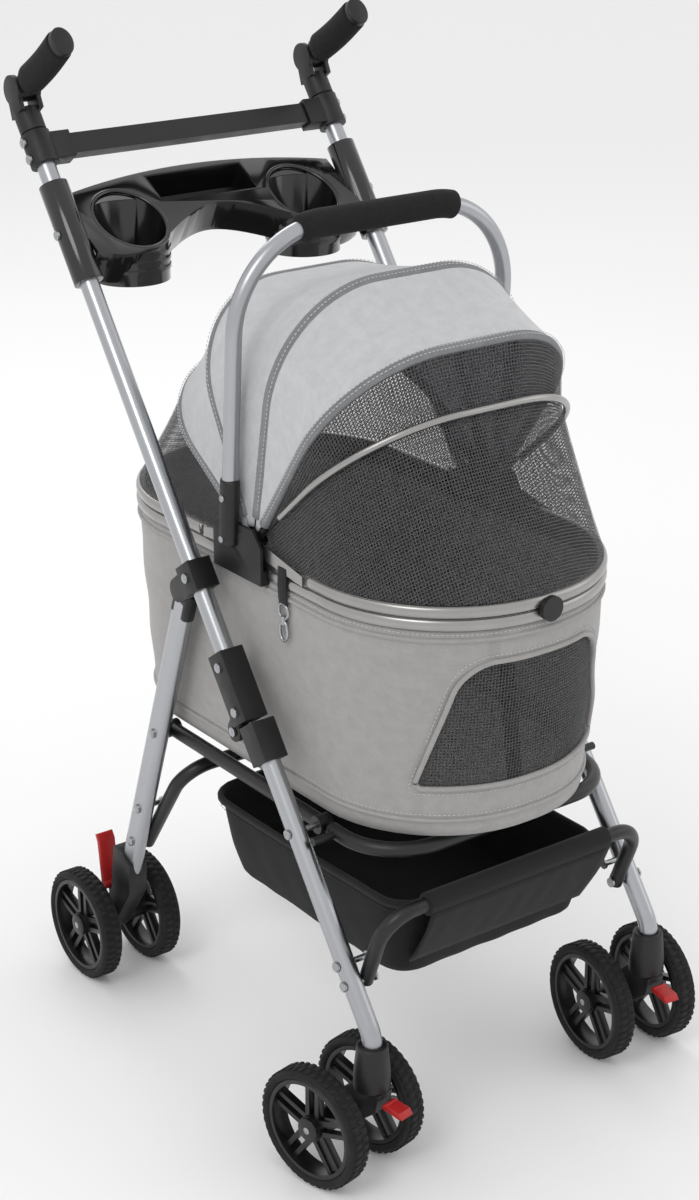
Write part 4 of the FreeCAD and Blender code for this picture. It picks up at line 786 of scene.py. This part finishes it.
# window: net, binding and its stitches, a strap behind it
net_points, net_uvs, net_quads = [], [], []
for z in steps_mid:
    for column in range(2 * WIN_COLS + 1):
        d = wall_spot(column, z)
        p, n, _ = around(d, z, 1.9 * MM)
        net_points.append(p + n * puff(d, z))
        net_uvs.append((d, z))
span = 2 * WIN_COLS + 1
for i in range(WIN_ROWS):
    for k in range(span - 1):
        a = i * span + k
        net_quads.append((a, a + 1, a + 1 + span, a + span))
net_pane = mesh_object("window_net", net_points, net_quads, black_net, net_uvs)
depth = net_pane.modifiers.new("Net", "SOLIDIFY")
depth.thickness, depth.offset = 0.6 * MM, 0
bake_modifiers(net_pane)
finished(net_pane, "carrier", ["window_mesh"])


def window_line(grow, out):
    """Closed line round the window, grow outside its edge and out from the wall."""
    line = []
    middle = (net_low.z + net_high.z) / 2
    stretch = 1 + grow / ((net_high.z - net_low.z) / 2)
    right = [(window_edge(z) + grow, middle + (z - middle) * stretch) for z in window_heights(40)]
    top_run = [(right[-1][0] * (1 - i / 12), right[-1][1]) for i in range(1, 24)]
    low_run = [(-right[0][0] * (1 - i / 12), right[0][1]) for i in range(1, 24)]
    route = right + top_run + [(-d, z) for d, z in reversed(right)] + low_run
    for d, z in route:
        p, n, _ = around(d, z)
        line.append(p + n * (puff(d, z) + out))
    return line


binding = tube_on("window_binding", window_line(1.5 * MM, 0.5 * MM), 2.6 * MM, tub_canvas, closed=True,
                  sides=10)
finished(binding, "carrier")
stitch_row("window_stitches", window_line(7.5 * MM, 0.35 * MM), "carrier", pale_stitcher, 4.5,
           True)


def wall_line(z, out, count=160):
    """Closed line round the tub at one height."""
    line = []
    total = around(0, z)[2]
    for i in range(count):
        p, n, _ = around(total * i / count, z)
        line.append(p + n * (puff(total * i / count, z) + out))
    return line


for name, lift in (("base_piping", 17), ("rim_piping", (tub_high.z - tub_low.z) / MM - 9)):
    z = tub_low.z + lift * MM
    piping = tube_on("tub_" + name, wall_line(z, 0.6 * MM), 2.3 * MM, tub_canvas, closed=True, sides=10)
    finished(piping, "carrier")
    stitch_row("tub_%s_stitches" % name, wall_line(z + 5.5 * MM, 0.3 * MM, 220), "carrier",
               pale_stitcher, 4.5, True)

# ---- canopy --------------------------------------------------------------------------------------
pivot = Vector((0, *joints["front_high_bow_turn"]["pos_m"][1:]))
BOW_R = 3.5 * MM
CORNER = 112 * MM       # cloth's corner over a bow
CLOTH_START = 16 * MM   # cloth ends this far from the bows' pivot
RING_START = 34 * MM    # and this far from it on the ring
PROUD = 3.2 * MM        # cloth lies this much outside a bow's middle
UNDER = -3.4 * MM       # net drawn under the silver bow
bow_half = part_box("main_bow")[1].x - BOW_R


def bow_reach(node):
    """Angle up from the rear and distance from the pivot of a bow's crown."""
    spots = [v.co for v in frame["nodes"][node].data.vertices if abs(v.co.x) < 0.045]
    middle = sum((Vector((0, p.y, p.z)) for p in spots), Vector()) / len(spots) - pivot
    return math.atan2(middle.z, middle.y), middle.length


def arch_points(half, start, reach, corner, count=64):
    """Evenly spaced (across, out) pairs along a round-cornered U."""
    straight, bend, top = reach - corner - start, corner * math.pi / 2, 2 * (half - corner)
    total = 2 * straight + 2 * bend + top
    pairs = []
    for i in range(count + 1):
        d = total * i / count
        flip = d > total / 2
        d = total - d if flip else d
        if d < straight:
            x, r = half, start + d
        elif d < straight + bend:
            a = (d - straight) / corner
            x, r = half - corner + corner * math.cos(a), start + straight + corner * math.sin(a)
        else:
            x, r = half - corner - (d - straight - bend), reach
        pairs.append((-x if flip else x, r))
    return pairs


def bow_edge(node, proud, shift):
    """Line over a bow, proud of it and moved to one side."""
    angle, reach = bow_reach(node)
    out = Vector((0, math.cos(angle), math.sin(angle)))
    normal = Vector((0, -math.sin(angle), math.cos(angle)))
    return [pivot + Vector((x, 0, 0)) + out * r + normal * shift
            for x, r in arch_points(bow_half + proud, CLOTH_START, reach + proud, CORNER)]


def ring_edge(sign):
    """The same line laid on the front or rear half of the ring."""
    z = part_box("upper_ring_front")[1].z if sign < 0 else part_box("upper_ring_rear")[1].z
    z = min(z, ring_high.z) + 1.0 * MM
    reach = (half_y + sign * (ring_mid - pivot.y)) - 1 * MM
    return [Vector((x, pivot.y + sign * r, z))
            for x, r in arch_points(half_x - 1 * MM, RING_START, reach, half_x - 8 * MM)]


TAUT_NEAR = 160 * MM    # nearer to the pivot than this the cloth sags less


def canopy_cloth(name, low_edge, high_edge, material, sag_mm, rows=12):
    """One taut sheet between two edges, drawn in between its bows, with slack folds."""
    points, uvs, faces = [], [], []
    count = len(low_edge)
    run = 0.0
    for i in range(count):
        run += (high_edge[i] - high_edge[i - 1]).length if i else 0.0
        for j in range(rows + 1):
            t = j / rows
            p = low_edge[i].lerp(high_edge[i], t)
            inward = (Vector((0, pivot.y, pivot.z)) - p)
            inward.x *= 0.6
            inward = inward.normalized()
            side = min(1, (p - Vector((p.x, pivot.y, pivot.z))).length / TAUT_NEAR)
            dip = sag_mm * MM * math.sin(math.pi * t) * side
            fold = 0.9 * MM * wobble(i * 0.42, t * 2.4, p.x * 16) * math.sin(math.pi * t)
            points.append(p + inward * (dip + fold))
            uvs.append((run, (high_edge[i] - low_edge[i]).length * t))
    for i in range(count - 1):
        for j in range(rows):
            a = i * (rows + 1) + j
            faces.append((a, a + 1, a + rows + 2, a + rows + 1))
    made = mesh_object(name, points, faces, material, uvs)
    crown_face = max(made.data.polygons, key=lambda f: f.center.z)
    if crown_face.normal.z < 0:
        made.data.flip_normals()
    smooth = made.modifiers.new("Smooth", "SUBSURF")
    smooth.levels = smooth.render_levels = 1
    thick = made.modifiers.new("Cloth", "SOLIDIFY")
    thick.thickness, thick.offset = 1.2 * MM, 0
    return bake_modifiers(made)


def hang(piece, node):
    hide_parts(node)
    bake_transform(piece)


BOW_BODY = {"bow_rear_low": "bow_rear_low", "bow_rear_high": "bow_rear_high", "main_bow": "carrier",
            "bow_front_high": "bow_front_high", "bow_front_low": "bow_front_low"}
angles = {node: bow_reach(node)[0] for node in BOW_BODY}
# CAD panel, sheet, its two bows, cloth and sag in millimetres
PANELS = [
    ("canopy_hood", "canopy_hood_sheet", "main_bow", "bow_front_high", canopy_canvas, 3),
    ("canopy_crown", "canopy_crown_sheet", "main_bow", "bow_rear_high", canopy_canvas, 4),
    ("canopy_rear", "canopy_rear_sheet", "bow_rear_high", "bow_rear_low", canopy_canvas, 4),
    ("front_mesh_high", "front_net_high", "bow_front_high", "bow_front_low", black_net, 2),
]
for node, name, near, far, material, sag in PANELS:
    turn = 1 if angles[far] > angles[near] else -1
    far_proud = UNDER if far == "bow_front_low" else PROUD
    edges = (bow_edge(near, PROUD, turn * 1.6 * MM), bow_edge(far, far_proud, -turn * 0.6 * MM))
    hang(canopy_cloth(name, *edges, material, sag), node)
edges = (bow_edge("bow_front_low", UNDER, 0.6 * MM), ring_edge(-1))
hang(canopy_cloth("front_net_low", *edges, black_net, 2), "front_mesh_low")
edges = (bow_edge("bow_rear_low", PROUD, -1.6 * MM), ring_edge(1))
hang(canopy_cloth("rear_net", *edges, black_net, 2), "canopy_rear_mesh")

# tape over each bow that is sewn in: half width in millimetres
for node, wide_mm in (("main_bow", 7.0), ("bow_front_high", 5.2), ("bow_rear_high", 5.2),
                      ("bow_rear_low", 5.2)):
    line = bow_edge(node, 0.8 * MM, 0.0)[1:-1]
    angle = angles[node]
    normal = Vector((0, -math.sin(angle), math.cos(angle)))
    tape = tube_on(node + "_binding", line, 4.9 * MM, binding_tape, high=wide_mm * MM, up=normal)
    finished(tape, BOW_BODY[node])
    for sign, side in ((-1, "aft"), (1, "fore")):
        edge_line = bow_edge(node, 5.2 * MM, sign * (wide_mm - 3.2) * MM)[2:-2]
        stitch_row("%s_stitches_%s" % (node, side), edge_line, BOW_BODY[node], pale_stitcher,
                   4.5)

# ---- floor pad -----------------------------------------------------------------------------------
pad_low, pad_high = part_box("floor_pad")
pad_mid = (pad_low + pad_high) / 2
PAD_PUFF = 5 * MM       # the stuffing moves no point further than this
CHANNEL_PITCH, CHANNEL_DEEP = 90 * MM, 2.6 * MM
outline = []
hx, hy = pad_high.x - 4 * MM, (pad_high.y - pad_low.y) / 2 - 4 * MM
pad_corner = hx - FLAT
for sx, sy, begin in ((1, 1, 0), (-1, 1, 90), (-1, -1, 180), (1, -1, 270)):
    for step in range(0, 91, 10):
        a = math.radians(begin + step)
        outline.append(Vector((sx * (hx - pad_corner) + pad_corner * math.cos(a),
                               pad_mid.y + sy * (hy - pad_corner) + pad_corner * math.sin(a), 0)))
count = len(outline)
points = [Vector((p.x, p.y, z)) for z in (pad_low.z + 3 * MM, pad_high.z - 3 * MM) for p in outline]
faces = [tuple(range(count))[::-1], tuple(range(count, 2 * count))]
faces += [(i, (i + 1) % count, count + (i + 1) % count, count + i) for i in range(count)]
pad = outward(mesh_object("floor_cushion", points, faces, pad_cloth))
remesh = pad.modifiers.new("Grid", "REMESH")
remesh.mode, remesh.voxel_size = "VOXEL", 5 * MM
bake_modifiers(pad)
rest = [v.co.copy() for v in pad.data.vertices]
held = pad.vertex_groups.new(name="seam")
held.add([v.index for v in pad.data.vertices if abs(v.co.z - pad_mid.z) < 3 * MM
          and (abs(v.co.x) > hx - 3 * MM or abs(v.co.y - pad_mid.y) > hy - 3 * MM)], 1.0, "REPLACE")
cloth = pad.modifiers.new("Stuffing", "CLOTH")
cloth.settings.use_pressure, cloth.settings.uniform_pressure_force = True, 4.0
cloth.settings.effector_weights.gravity = 0
cloth.settings.vertex_group_mass = "seam"
for step in range(1, 21):
    scene.frame_set(step)
bake_modifiers(pad)
scene.frame_set(1)
for vert, was in zip(pad.data.vertices, rest):
    moved = vert.co - was
    if moved.length > PAD_PUFF:
        moved *= PAD_PUFF / moved.length
    vert.co = was + moved
for vert in pad.data.vertices:
    channel = min(abs(((vert.co.y - pad_mid.y) / CHANNEL_PITCH) % 1 - 0.5) * 2, 1)
    if vert.co.z > pad_mid.z:
        vert.co.z -= CHANNEL_DEEP * (1 - min(1, (1 - channel) * 6))
    vert.co.z = max(pad_low.z, min(pad_high.z + 4 * MM, vert.co.z))
pad.data.shade_smooth()
pad.data.materials.clear()
pad.data.materials.append(pad_cloth)
finished(pad, "carrier", ["floor_pad"])

# ---- basket --------------------------------------------------------------------------------------
bask_low, bask_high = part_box("basket")
bask_mid = (bask_low + bask_high) / 2
BASK_LEVELS, BASK_COLS, FLOOR_RINGS = 10, 96, 10
BASK_SLOPE, BASK_CORNER, RIM_SAG = 22 * MM, 30 * MM, 7 * MM


def basket_rim(share, z_share):
    """Point on the basket's wall: share round it, z_share from floor to rim."""
    lean_in = BASK_SLOPE * (1 - z_share)
    hx = bask_high.x - lean_in * 0.4
    y0, y1 = bask_low.y + lean_in * 0.6, bask_high.y - lean_in
    r = BASK_CORNER
    mid, hy = (y0 + y1) / 2, (y1 - y0) / 2
    runs = [2 * (hx - r), math.pi * r / 2, 2 * (hy - r), math.pi * r / 2] * 2
    d = share * sum(runs)
    x, y, heading = -(hx - r), mid - hy, 0.0
    for i, run in enumerate(runs):
        step = min(d, run)
        if i % 2:
            a = step / r
            cx, cy = x - r * math.sin(heading), y + r * math.cos(heading)
            heading += a
            x, y = cx + r * math.sin(heading), cy - r * math.cos(heading)
        else:
            x, y = x + step * math.cos(heading), y + step * math.sin(heading)
        d -= step
        if d <= 0:
            break
    z = bask_low.z + (bask_high.z - bask_low.z) * z_share
    return Vector((x, y, z)), Vector((math.sin(heading), -math.cos(heading), 0))


def rim_sag(share):
    """How far the rim hangs down between its four corners."""
    return RIM_SAG * (math.cos(4 * math.pi * share) * 0.5 - 0.5)


points, uvs, faces = [], [], []
for level in range(BASK_LEVELS + 1):
    share_z = level / BASK_LEVELS
    for k in range(BASK_COLS):
        p, n = basket_rim(k / BASK_COLS, share_z)
        slack = 1.6 * MM * wobble(k * 0.5, share_z * 5, k * 0.21) * (1 - share_z)
        belly = 3.2 * MM * math.sin(math.pi * share_z) + slack
        dip = Vector((0, 0, rim_sag(k / BASK_COLS) * share_z ** 3))
        points.append(p + n * (belly - 2 * MM) + dip)
        uvs.append((k * 9 * MM, p.z))
for step in range(1, FLOOR_RINGS + 1):
    t = step / FLOOR_RINGS
    for k in range(BASK_COLS):
        p = basket_rim(k / BASK_COLS, 0)[0]
        spot = Vector((p.x * (1 - t), bask_mid.y + (p.y - bask_mid.y) * (1 - t), bask_low.z))
        lift = 4.0 * (1 - t) ** 2 - 1.0 + 1.2 * wobble(spot.x * 30, spot.y * 26, t * 3)
        spot.z += lift * MM * (1 if step > 1 else 0.5)
        spot.z = max(spot.z, bask_low.z - 4 * MM)
        points.append(spot)
        uvs.append((spot.x, spot.y))
for level in range(BASK_LEVELS):
    below, above = level * BASK_COLS, (level + 1) * BASK_COLS
    for k in range(BASK_COLS):
        n = (k + 1) % BASK_COLS
        faces.append((below + k, below + n, above + n, above + k))
first = (BASK_LEVELS + 1) * BASK_COLS
for step in range(FLOOR_RINGS):
    outer = first + (step - 1) * BASK_COLS if step else 0
    inner = first + step * BASK_COLS
    for k in range(BASK_COLS):
        n = (k + 1) % BASK_COLS
        faces.append((outer + k, inner + k, inner + n, outer + n))
basket = outward(mesh_object("basket_shell", points, faces, basket_oxford, uvs), SOFT_MERGE)
floor_middle = Vector((0, bask_mid.y, bask_low.z))
floor_face = min(basket.data.polygons, key=lambda face: (face.center - floor_middle).length)
if floor_face.normal.z > 0:
    basket.data.flip_normals()
smooth = basket.modifiers.new("Smooth", "SUBSURF")
smooth.levels = smooth.render_levels = 1
cloth = basket.modifiers.new("Cloth", "SOLIDIFY")
cloth.thickness, cloth.offset = 1.6 * MM, -1
bake_modifiers(basket)
rim_line = [basket_rim(k / 120, 1.0)[0] + Vector((0, 0, rim_sag(k / 120))) for k in range(120)]
rim = tube_on("basket_rim_cord", rim_line, 3.4 * MM, black_webbing, high=4.4 * MM, closed=True, sides=10)
for piece, nodes in ((basket, ["basket"]), (rim, [])):
    finished(piece, "front_frame", nodes)
    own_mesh(piece)
stitched = stitch_row("basket_rim_stitches", [p + Vector((0, 0, -9 * MM)) for p in rim_line], "front_frame",
                      black_stitcher, closed=True)
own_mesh(stitched)

# ---- tray rims -----------------------------------------------------------------------------------
tray_points = [v.co for v in frame["nodes"]["parent_tray"].data.vertices]
TRAY_SLOPE = math.radians(30)
tray_up = (0, -math.sin(TRAY_SLOPE), math.cos(TRAY_SLOPE))
beads = []
for mount in frame["record"]["mounts"]:
    if not mount["name"].startswith("cup_well"):
        continue
    centre, radius = Vector(mount["pos_m"]), mount["dims"]["r_mm"] * MM
    mouth = [p for p in tray_points if p.z > centre.z
             and abs(math.hypot(p.x - centre.x, p.y - centre.y) - radius) < 0.3 * MM]
    level = sum(p.z - (p.y - centre.y) * math.tan(TRAY_SLOPE) for p in mouth) / len(mouth)
    line = []
    for i in range(56):
        a = 2 * math.pi * i / 56
        across, along = (radius + 1.2 * MM) * math.cos(a), (radius + 1.2 * MM) * math.sin(a)
        lift = level - centre.z + along * math.tan(TRAY_SLOPE) + 0.6 * MM
        line.append(centre + Vector((across, along, lift)))
    beads.append(tube_on("bead", line, 2.6 * MM, polished_abs, high=2.2 * MM, closed=True, sides=12,
                         up=tray_up))
finished(joined("cup_well_beads", beads), "push_handle")

# ---- ring mouldings, handle sockets, hook tab, sleeve on the front bar, strap --------------------
def ring_trim(name, z, high_mm, y_from, y_to, body):
    """Half-round moulding on the ring's outside between two distances from front to back."""
    half_way = outline_spot(0, half_x, half_y, z)[2] / 2
    line = [outline_spot(half_way * i / 240, half_x, half_y, z)[0] for i in range(241)]
    line = [p for p in line if y_from <= p.y <= y_to]
    runs = [line, [Vector((-p.x, p.y, p.z)) for p in line]]
    if y_from < ring_mid - half_y:
        runs = [runs[1][::-1] + runs[0][1:]]
    elif y_to > ring_mid + half_y:
        runs = [runs[0] + runs[1][::-1][1:]]
    bars = [tube_on(name, run, 3.0 * MM, champagne_lacquer, high=high_mm * MM, sides=18) for run in runs]
    return finished(joined(name, bars) if len(bars) > 1 else bars[0], body)


ring_front, ring_rear = ring_mid - half_y - 10 * MM, ring_mid + half_y + 10 * MM
upper_z, lower_z = ring_high.z - 6 * MM, ring_low.z + 5.6 * MM
for name, z, high_mm, y_from, y_to, body in (
        ("front_ring_moulding", upper_z, 5.6, ring_front, pivot.y - 88 * MM, "upper_ring_front"),
        ("rear_ring_moulding", upper_z, 5.6, pivot.y + 88 * MM, ring_rear, "upper_ring_rear"),
        ("lower_ring_moulding_front", lower_z, 5.8, ring_front, pivot.y - 24 * MM, "carrier"),
        ("lower_ring_moulding_rear", lower_z, 5.8, carry_pivot.y + 34 * MM, ring_rear, "carrier")):
    ring_trim(name, z, high_mm, y_from, y_to, body)

sockets = []
for sign in (-1, 1):
    foot = Vector((sign * (carry_tube_x + 0.4 * MM), carry_pivot.y, carry_pivot.z))
    line = [foot + carry_out * r * MM for r in (-4, 4, 14, 28, 44, 58)]
    sockets.append(tube_on("socket", line, 8.9 * MM, moulded_nylon, high=11 * MM, up=(0, 1, 0), sides=24,
                           round_ends=0.5))
    for r in (0, 42):
        spot = foot + carry_out * r * MM + Vector((sign * 8.2 * MM, 0, 0))
        sockets.append(tube_on("socket_rivet", [spot, spot + Vector((sign * 1.4 * MM, 0, 0))], 3.6 * MM,
                               zinc_plate, sides=18, round_ends=0.35))
finished(joined("carry_handle_sockets", sockets), "carry_handle")

hook_low, hook_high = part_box("snap_hook")
hook = Vector(((hook_low.x + hook_high.x) / 2, (hook_low.y + hook_high.y) / 2, hook_low.z + 9.8 * MM))
tab_line = [Vector((x, hook.y, z)) for x, z in (
    (-half_x - 3.6 * MM, ring_high.z - 2 * MM), (-half_x - 4.4 * MM, ring_low.z + 4 * MM),
    (-half_x - 3.6 * MM, hook.z + 13 * MM), (hook.x, hook.z + 7 * MM))]
tab = tube_on("hook_tab", tab_line, 7.5 * MM, black_webbing, high=1.3 * MM, up=(1, 0, 0), sides=16,
              round_ends=0.1)
finished(tab, "carrier")
turns = [2 * math.pi * i / 28 for i in range(28)]
clasp = [hook + Vector((0, math.sin(a) * 6.2 * MM, -20 * MM - math.cos(a) * 10 * MM)) for a in turns]
loop = [hook + Vector((0, math.sin(a) * 7.6 * MM, -math.cos(a) * 7.6 * MM)) for a in turns]
barrel = [hook + Vector((0, 0, -5.5 * MM)), hook + Vector((0, 0, -13 * MM))]
clip = joined("snap_hook_clip", [
    tube_on("clasp", clasp, 1.7 * MM, zinc_plate, closed=True, sides=12, up=(1, 0, 0)),
    tube_on("loop", loop, 1.5 * MM, zinc_plate, closed=True, sides=12, up=(1, 0, 0)),
    tube_on("barrel", barrel, 2.8 * MM, zinc_plate, sides=16, up=(1, 0, 0), round_ends=0.4)])
finished(clip, "snap_hook", ["snap_hook"])

hoop_low, hoop_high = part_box("front_hoop")
HOOP_R = 7.5 * MM
bar_y, bar_z = hoop_low.y + HOOP_R, hoop_high.z - HOOP_R
sleeve_half = bask_high.x - 16 * MM
sleeve_line = [Vector((sleeve_half * (i / 10 - 1), bar_y, bar_z)) for i in range(21)]
sleeve = tube_on("front_bar_sleeve", sleeve_line, 10.6 * MM, basket_oxford, high=11.4 * MM, sides=26,
                 round_ends=0.25)
finished(sleeve, "front_frame")
stitch_row("sleeve_stitches", [p + Vector((0, 9.0 * MM, -8.4 * MM)) for p in sleeve_line], "front_frame",
           black_stitcher)
points, uvs, faces = [], [], []
WEB_COLS, WEB_ROWS = 30, 8
for i in range(WEB_COLS + 1):
    x = sleeve_half * (2 * i / WEB_COLS - 1)
    top = Vector((x, bar_y - 8.6 * MM, bar_z - 6 * MM))
    foot = Vector((x * 0.97, bask_low.y + 9 * MM, bask_low.z + 20 * MM))
    for j in range(WEB_ROWS + 1):
        t = j / WEB_ROWS
        slack = 3 * MM * math.sin(math.pi * t) * (1 + 0.5 * wobble(i * 0.6, t * 3, i * 0.23))
        points.append(top.lerp(foot, t) + Vector((0, -slack, 0)))
        uvs.append((x, t * 80 * MM))
for i in range(WEB_COLS):
    for j in range(WEB_ROWS):
        a = i * (WEB_ROWS + 1) + j
        faces.append((a, a + 1, a + WEB_ROWS + 2, a + WEB_ROWS + 1))
web = mesh_object("basket_front_web", points, faces, basket_oxford, uvs)
thick = web.modifiers.new("Cloth", "SOLIDIFY")
thick.thickness, thick.offset = 1.4 * MM, 0
bake_modifiers(web)
outward(web)
finished(web, "front_frame")

strap_line = []
for i in range(15):
    t = i / 14
    strap_line.append(Vector((-30 * MM + 34 * MM * t, ring_mid - half_y + (22 + 20 * t) * MM,
                              net_high.z + 6 * MM - (net_high.z - pad_high.z) * t * 0.96)))
strap = tube_on("inner_tether", strap_line, 9 * MM, black_webbing, high=1.0 * MM, up=(0, 1, 0.3),
                round_ends=0.1)
finished(strap, "carrier")

# ---- stage, light, camera ------------------------------------------------------------------------
floor_paint = bpy.data.materials.new("matt_white_floor")
floor_paint.use_nodes = True
paint = floor_paint.node_tree.nodes["Principled BSDF"].inputs
paint["Base Color"].default_value = linear("#f6f6f6")
paint["Roughness"].default_value = 0.9
FLOOR_HALF = 8
corners = [(x * FLOOR_HALF, y * FLOOR_HALF, 0) for x, y in ((-1, -1), (1, -1), (1, 1), (-1, 1))]
mesh_object("studio_floor", corners, [(0, 1, 2, 3)], floor_paint)

world = bpy.data.worlds.new("studio_white")
world.use_nodes = True
world.node_tree.nodes["Background"].inputs["Color"].default_value = (1, 1, 1, 1)
world.node_tree.nodes["Background"].inputs["Strength"].default_value = 0.9
scene.world = world
scene.view_settings.view_transform = "Standard"


def soft_light(name, place, target, size, power):
    """Round studio light aimed at a point; metres and watts."""
    lamp = bpy.data.lights.new(name, "AREA")
    lamp.shape, lamp.size, lamp.energy = "DISK", size, power
    made = bpy.data.objects.new(name, lamp)
    made.location = place
    made.rotation_euler = (Vector(target) - Vector(place)).to_track_quat("-Z", "Y").to_euler()
    scene.collection.objects.link(made)


soft_light("key_light", (-2.4, -1.2, 3.0), (0, 0, 0.5), 1.6, 26)
soft_light("fill_light", (2.6, -1.6, 1.8), (0, 0, 0.5), 2.2, 8)
soft_light("back_light", (0.6, 2.6, 2.6), (0, 0, 0.6), 1.6, 14)

camera = bpy.data.objects.new("camera", bpy.data.cameras.new("camera"))
scene.collection.objects.link(camera)
camera.location = (-1.3018, -1.7538, 1.3511)
CAMERA_TURN, CAMERA_DIP = -36.544, 21.975
camera.rotation_euler = (Matrix.Rotation(math.radians(CAMERA_TURN), 3, "Z")
                         @ Matrix.Rotation(math.radians(90 - CAMERA_DIP), 3, "X")).to_euler()
camera.data.lens, camera.data.sensor_width = 69.41, 36
scene.camera = camera
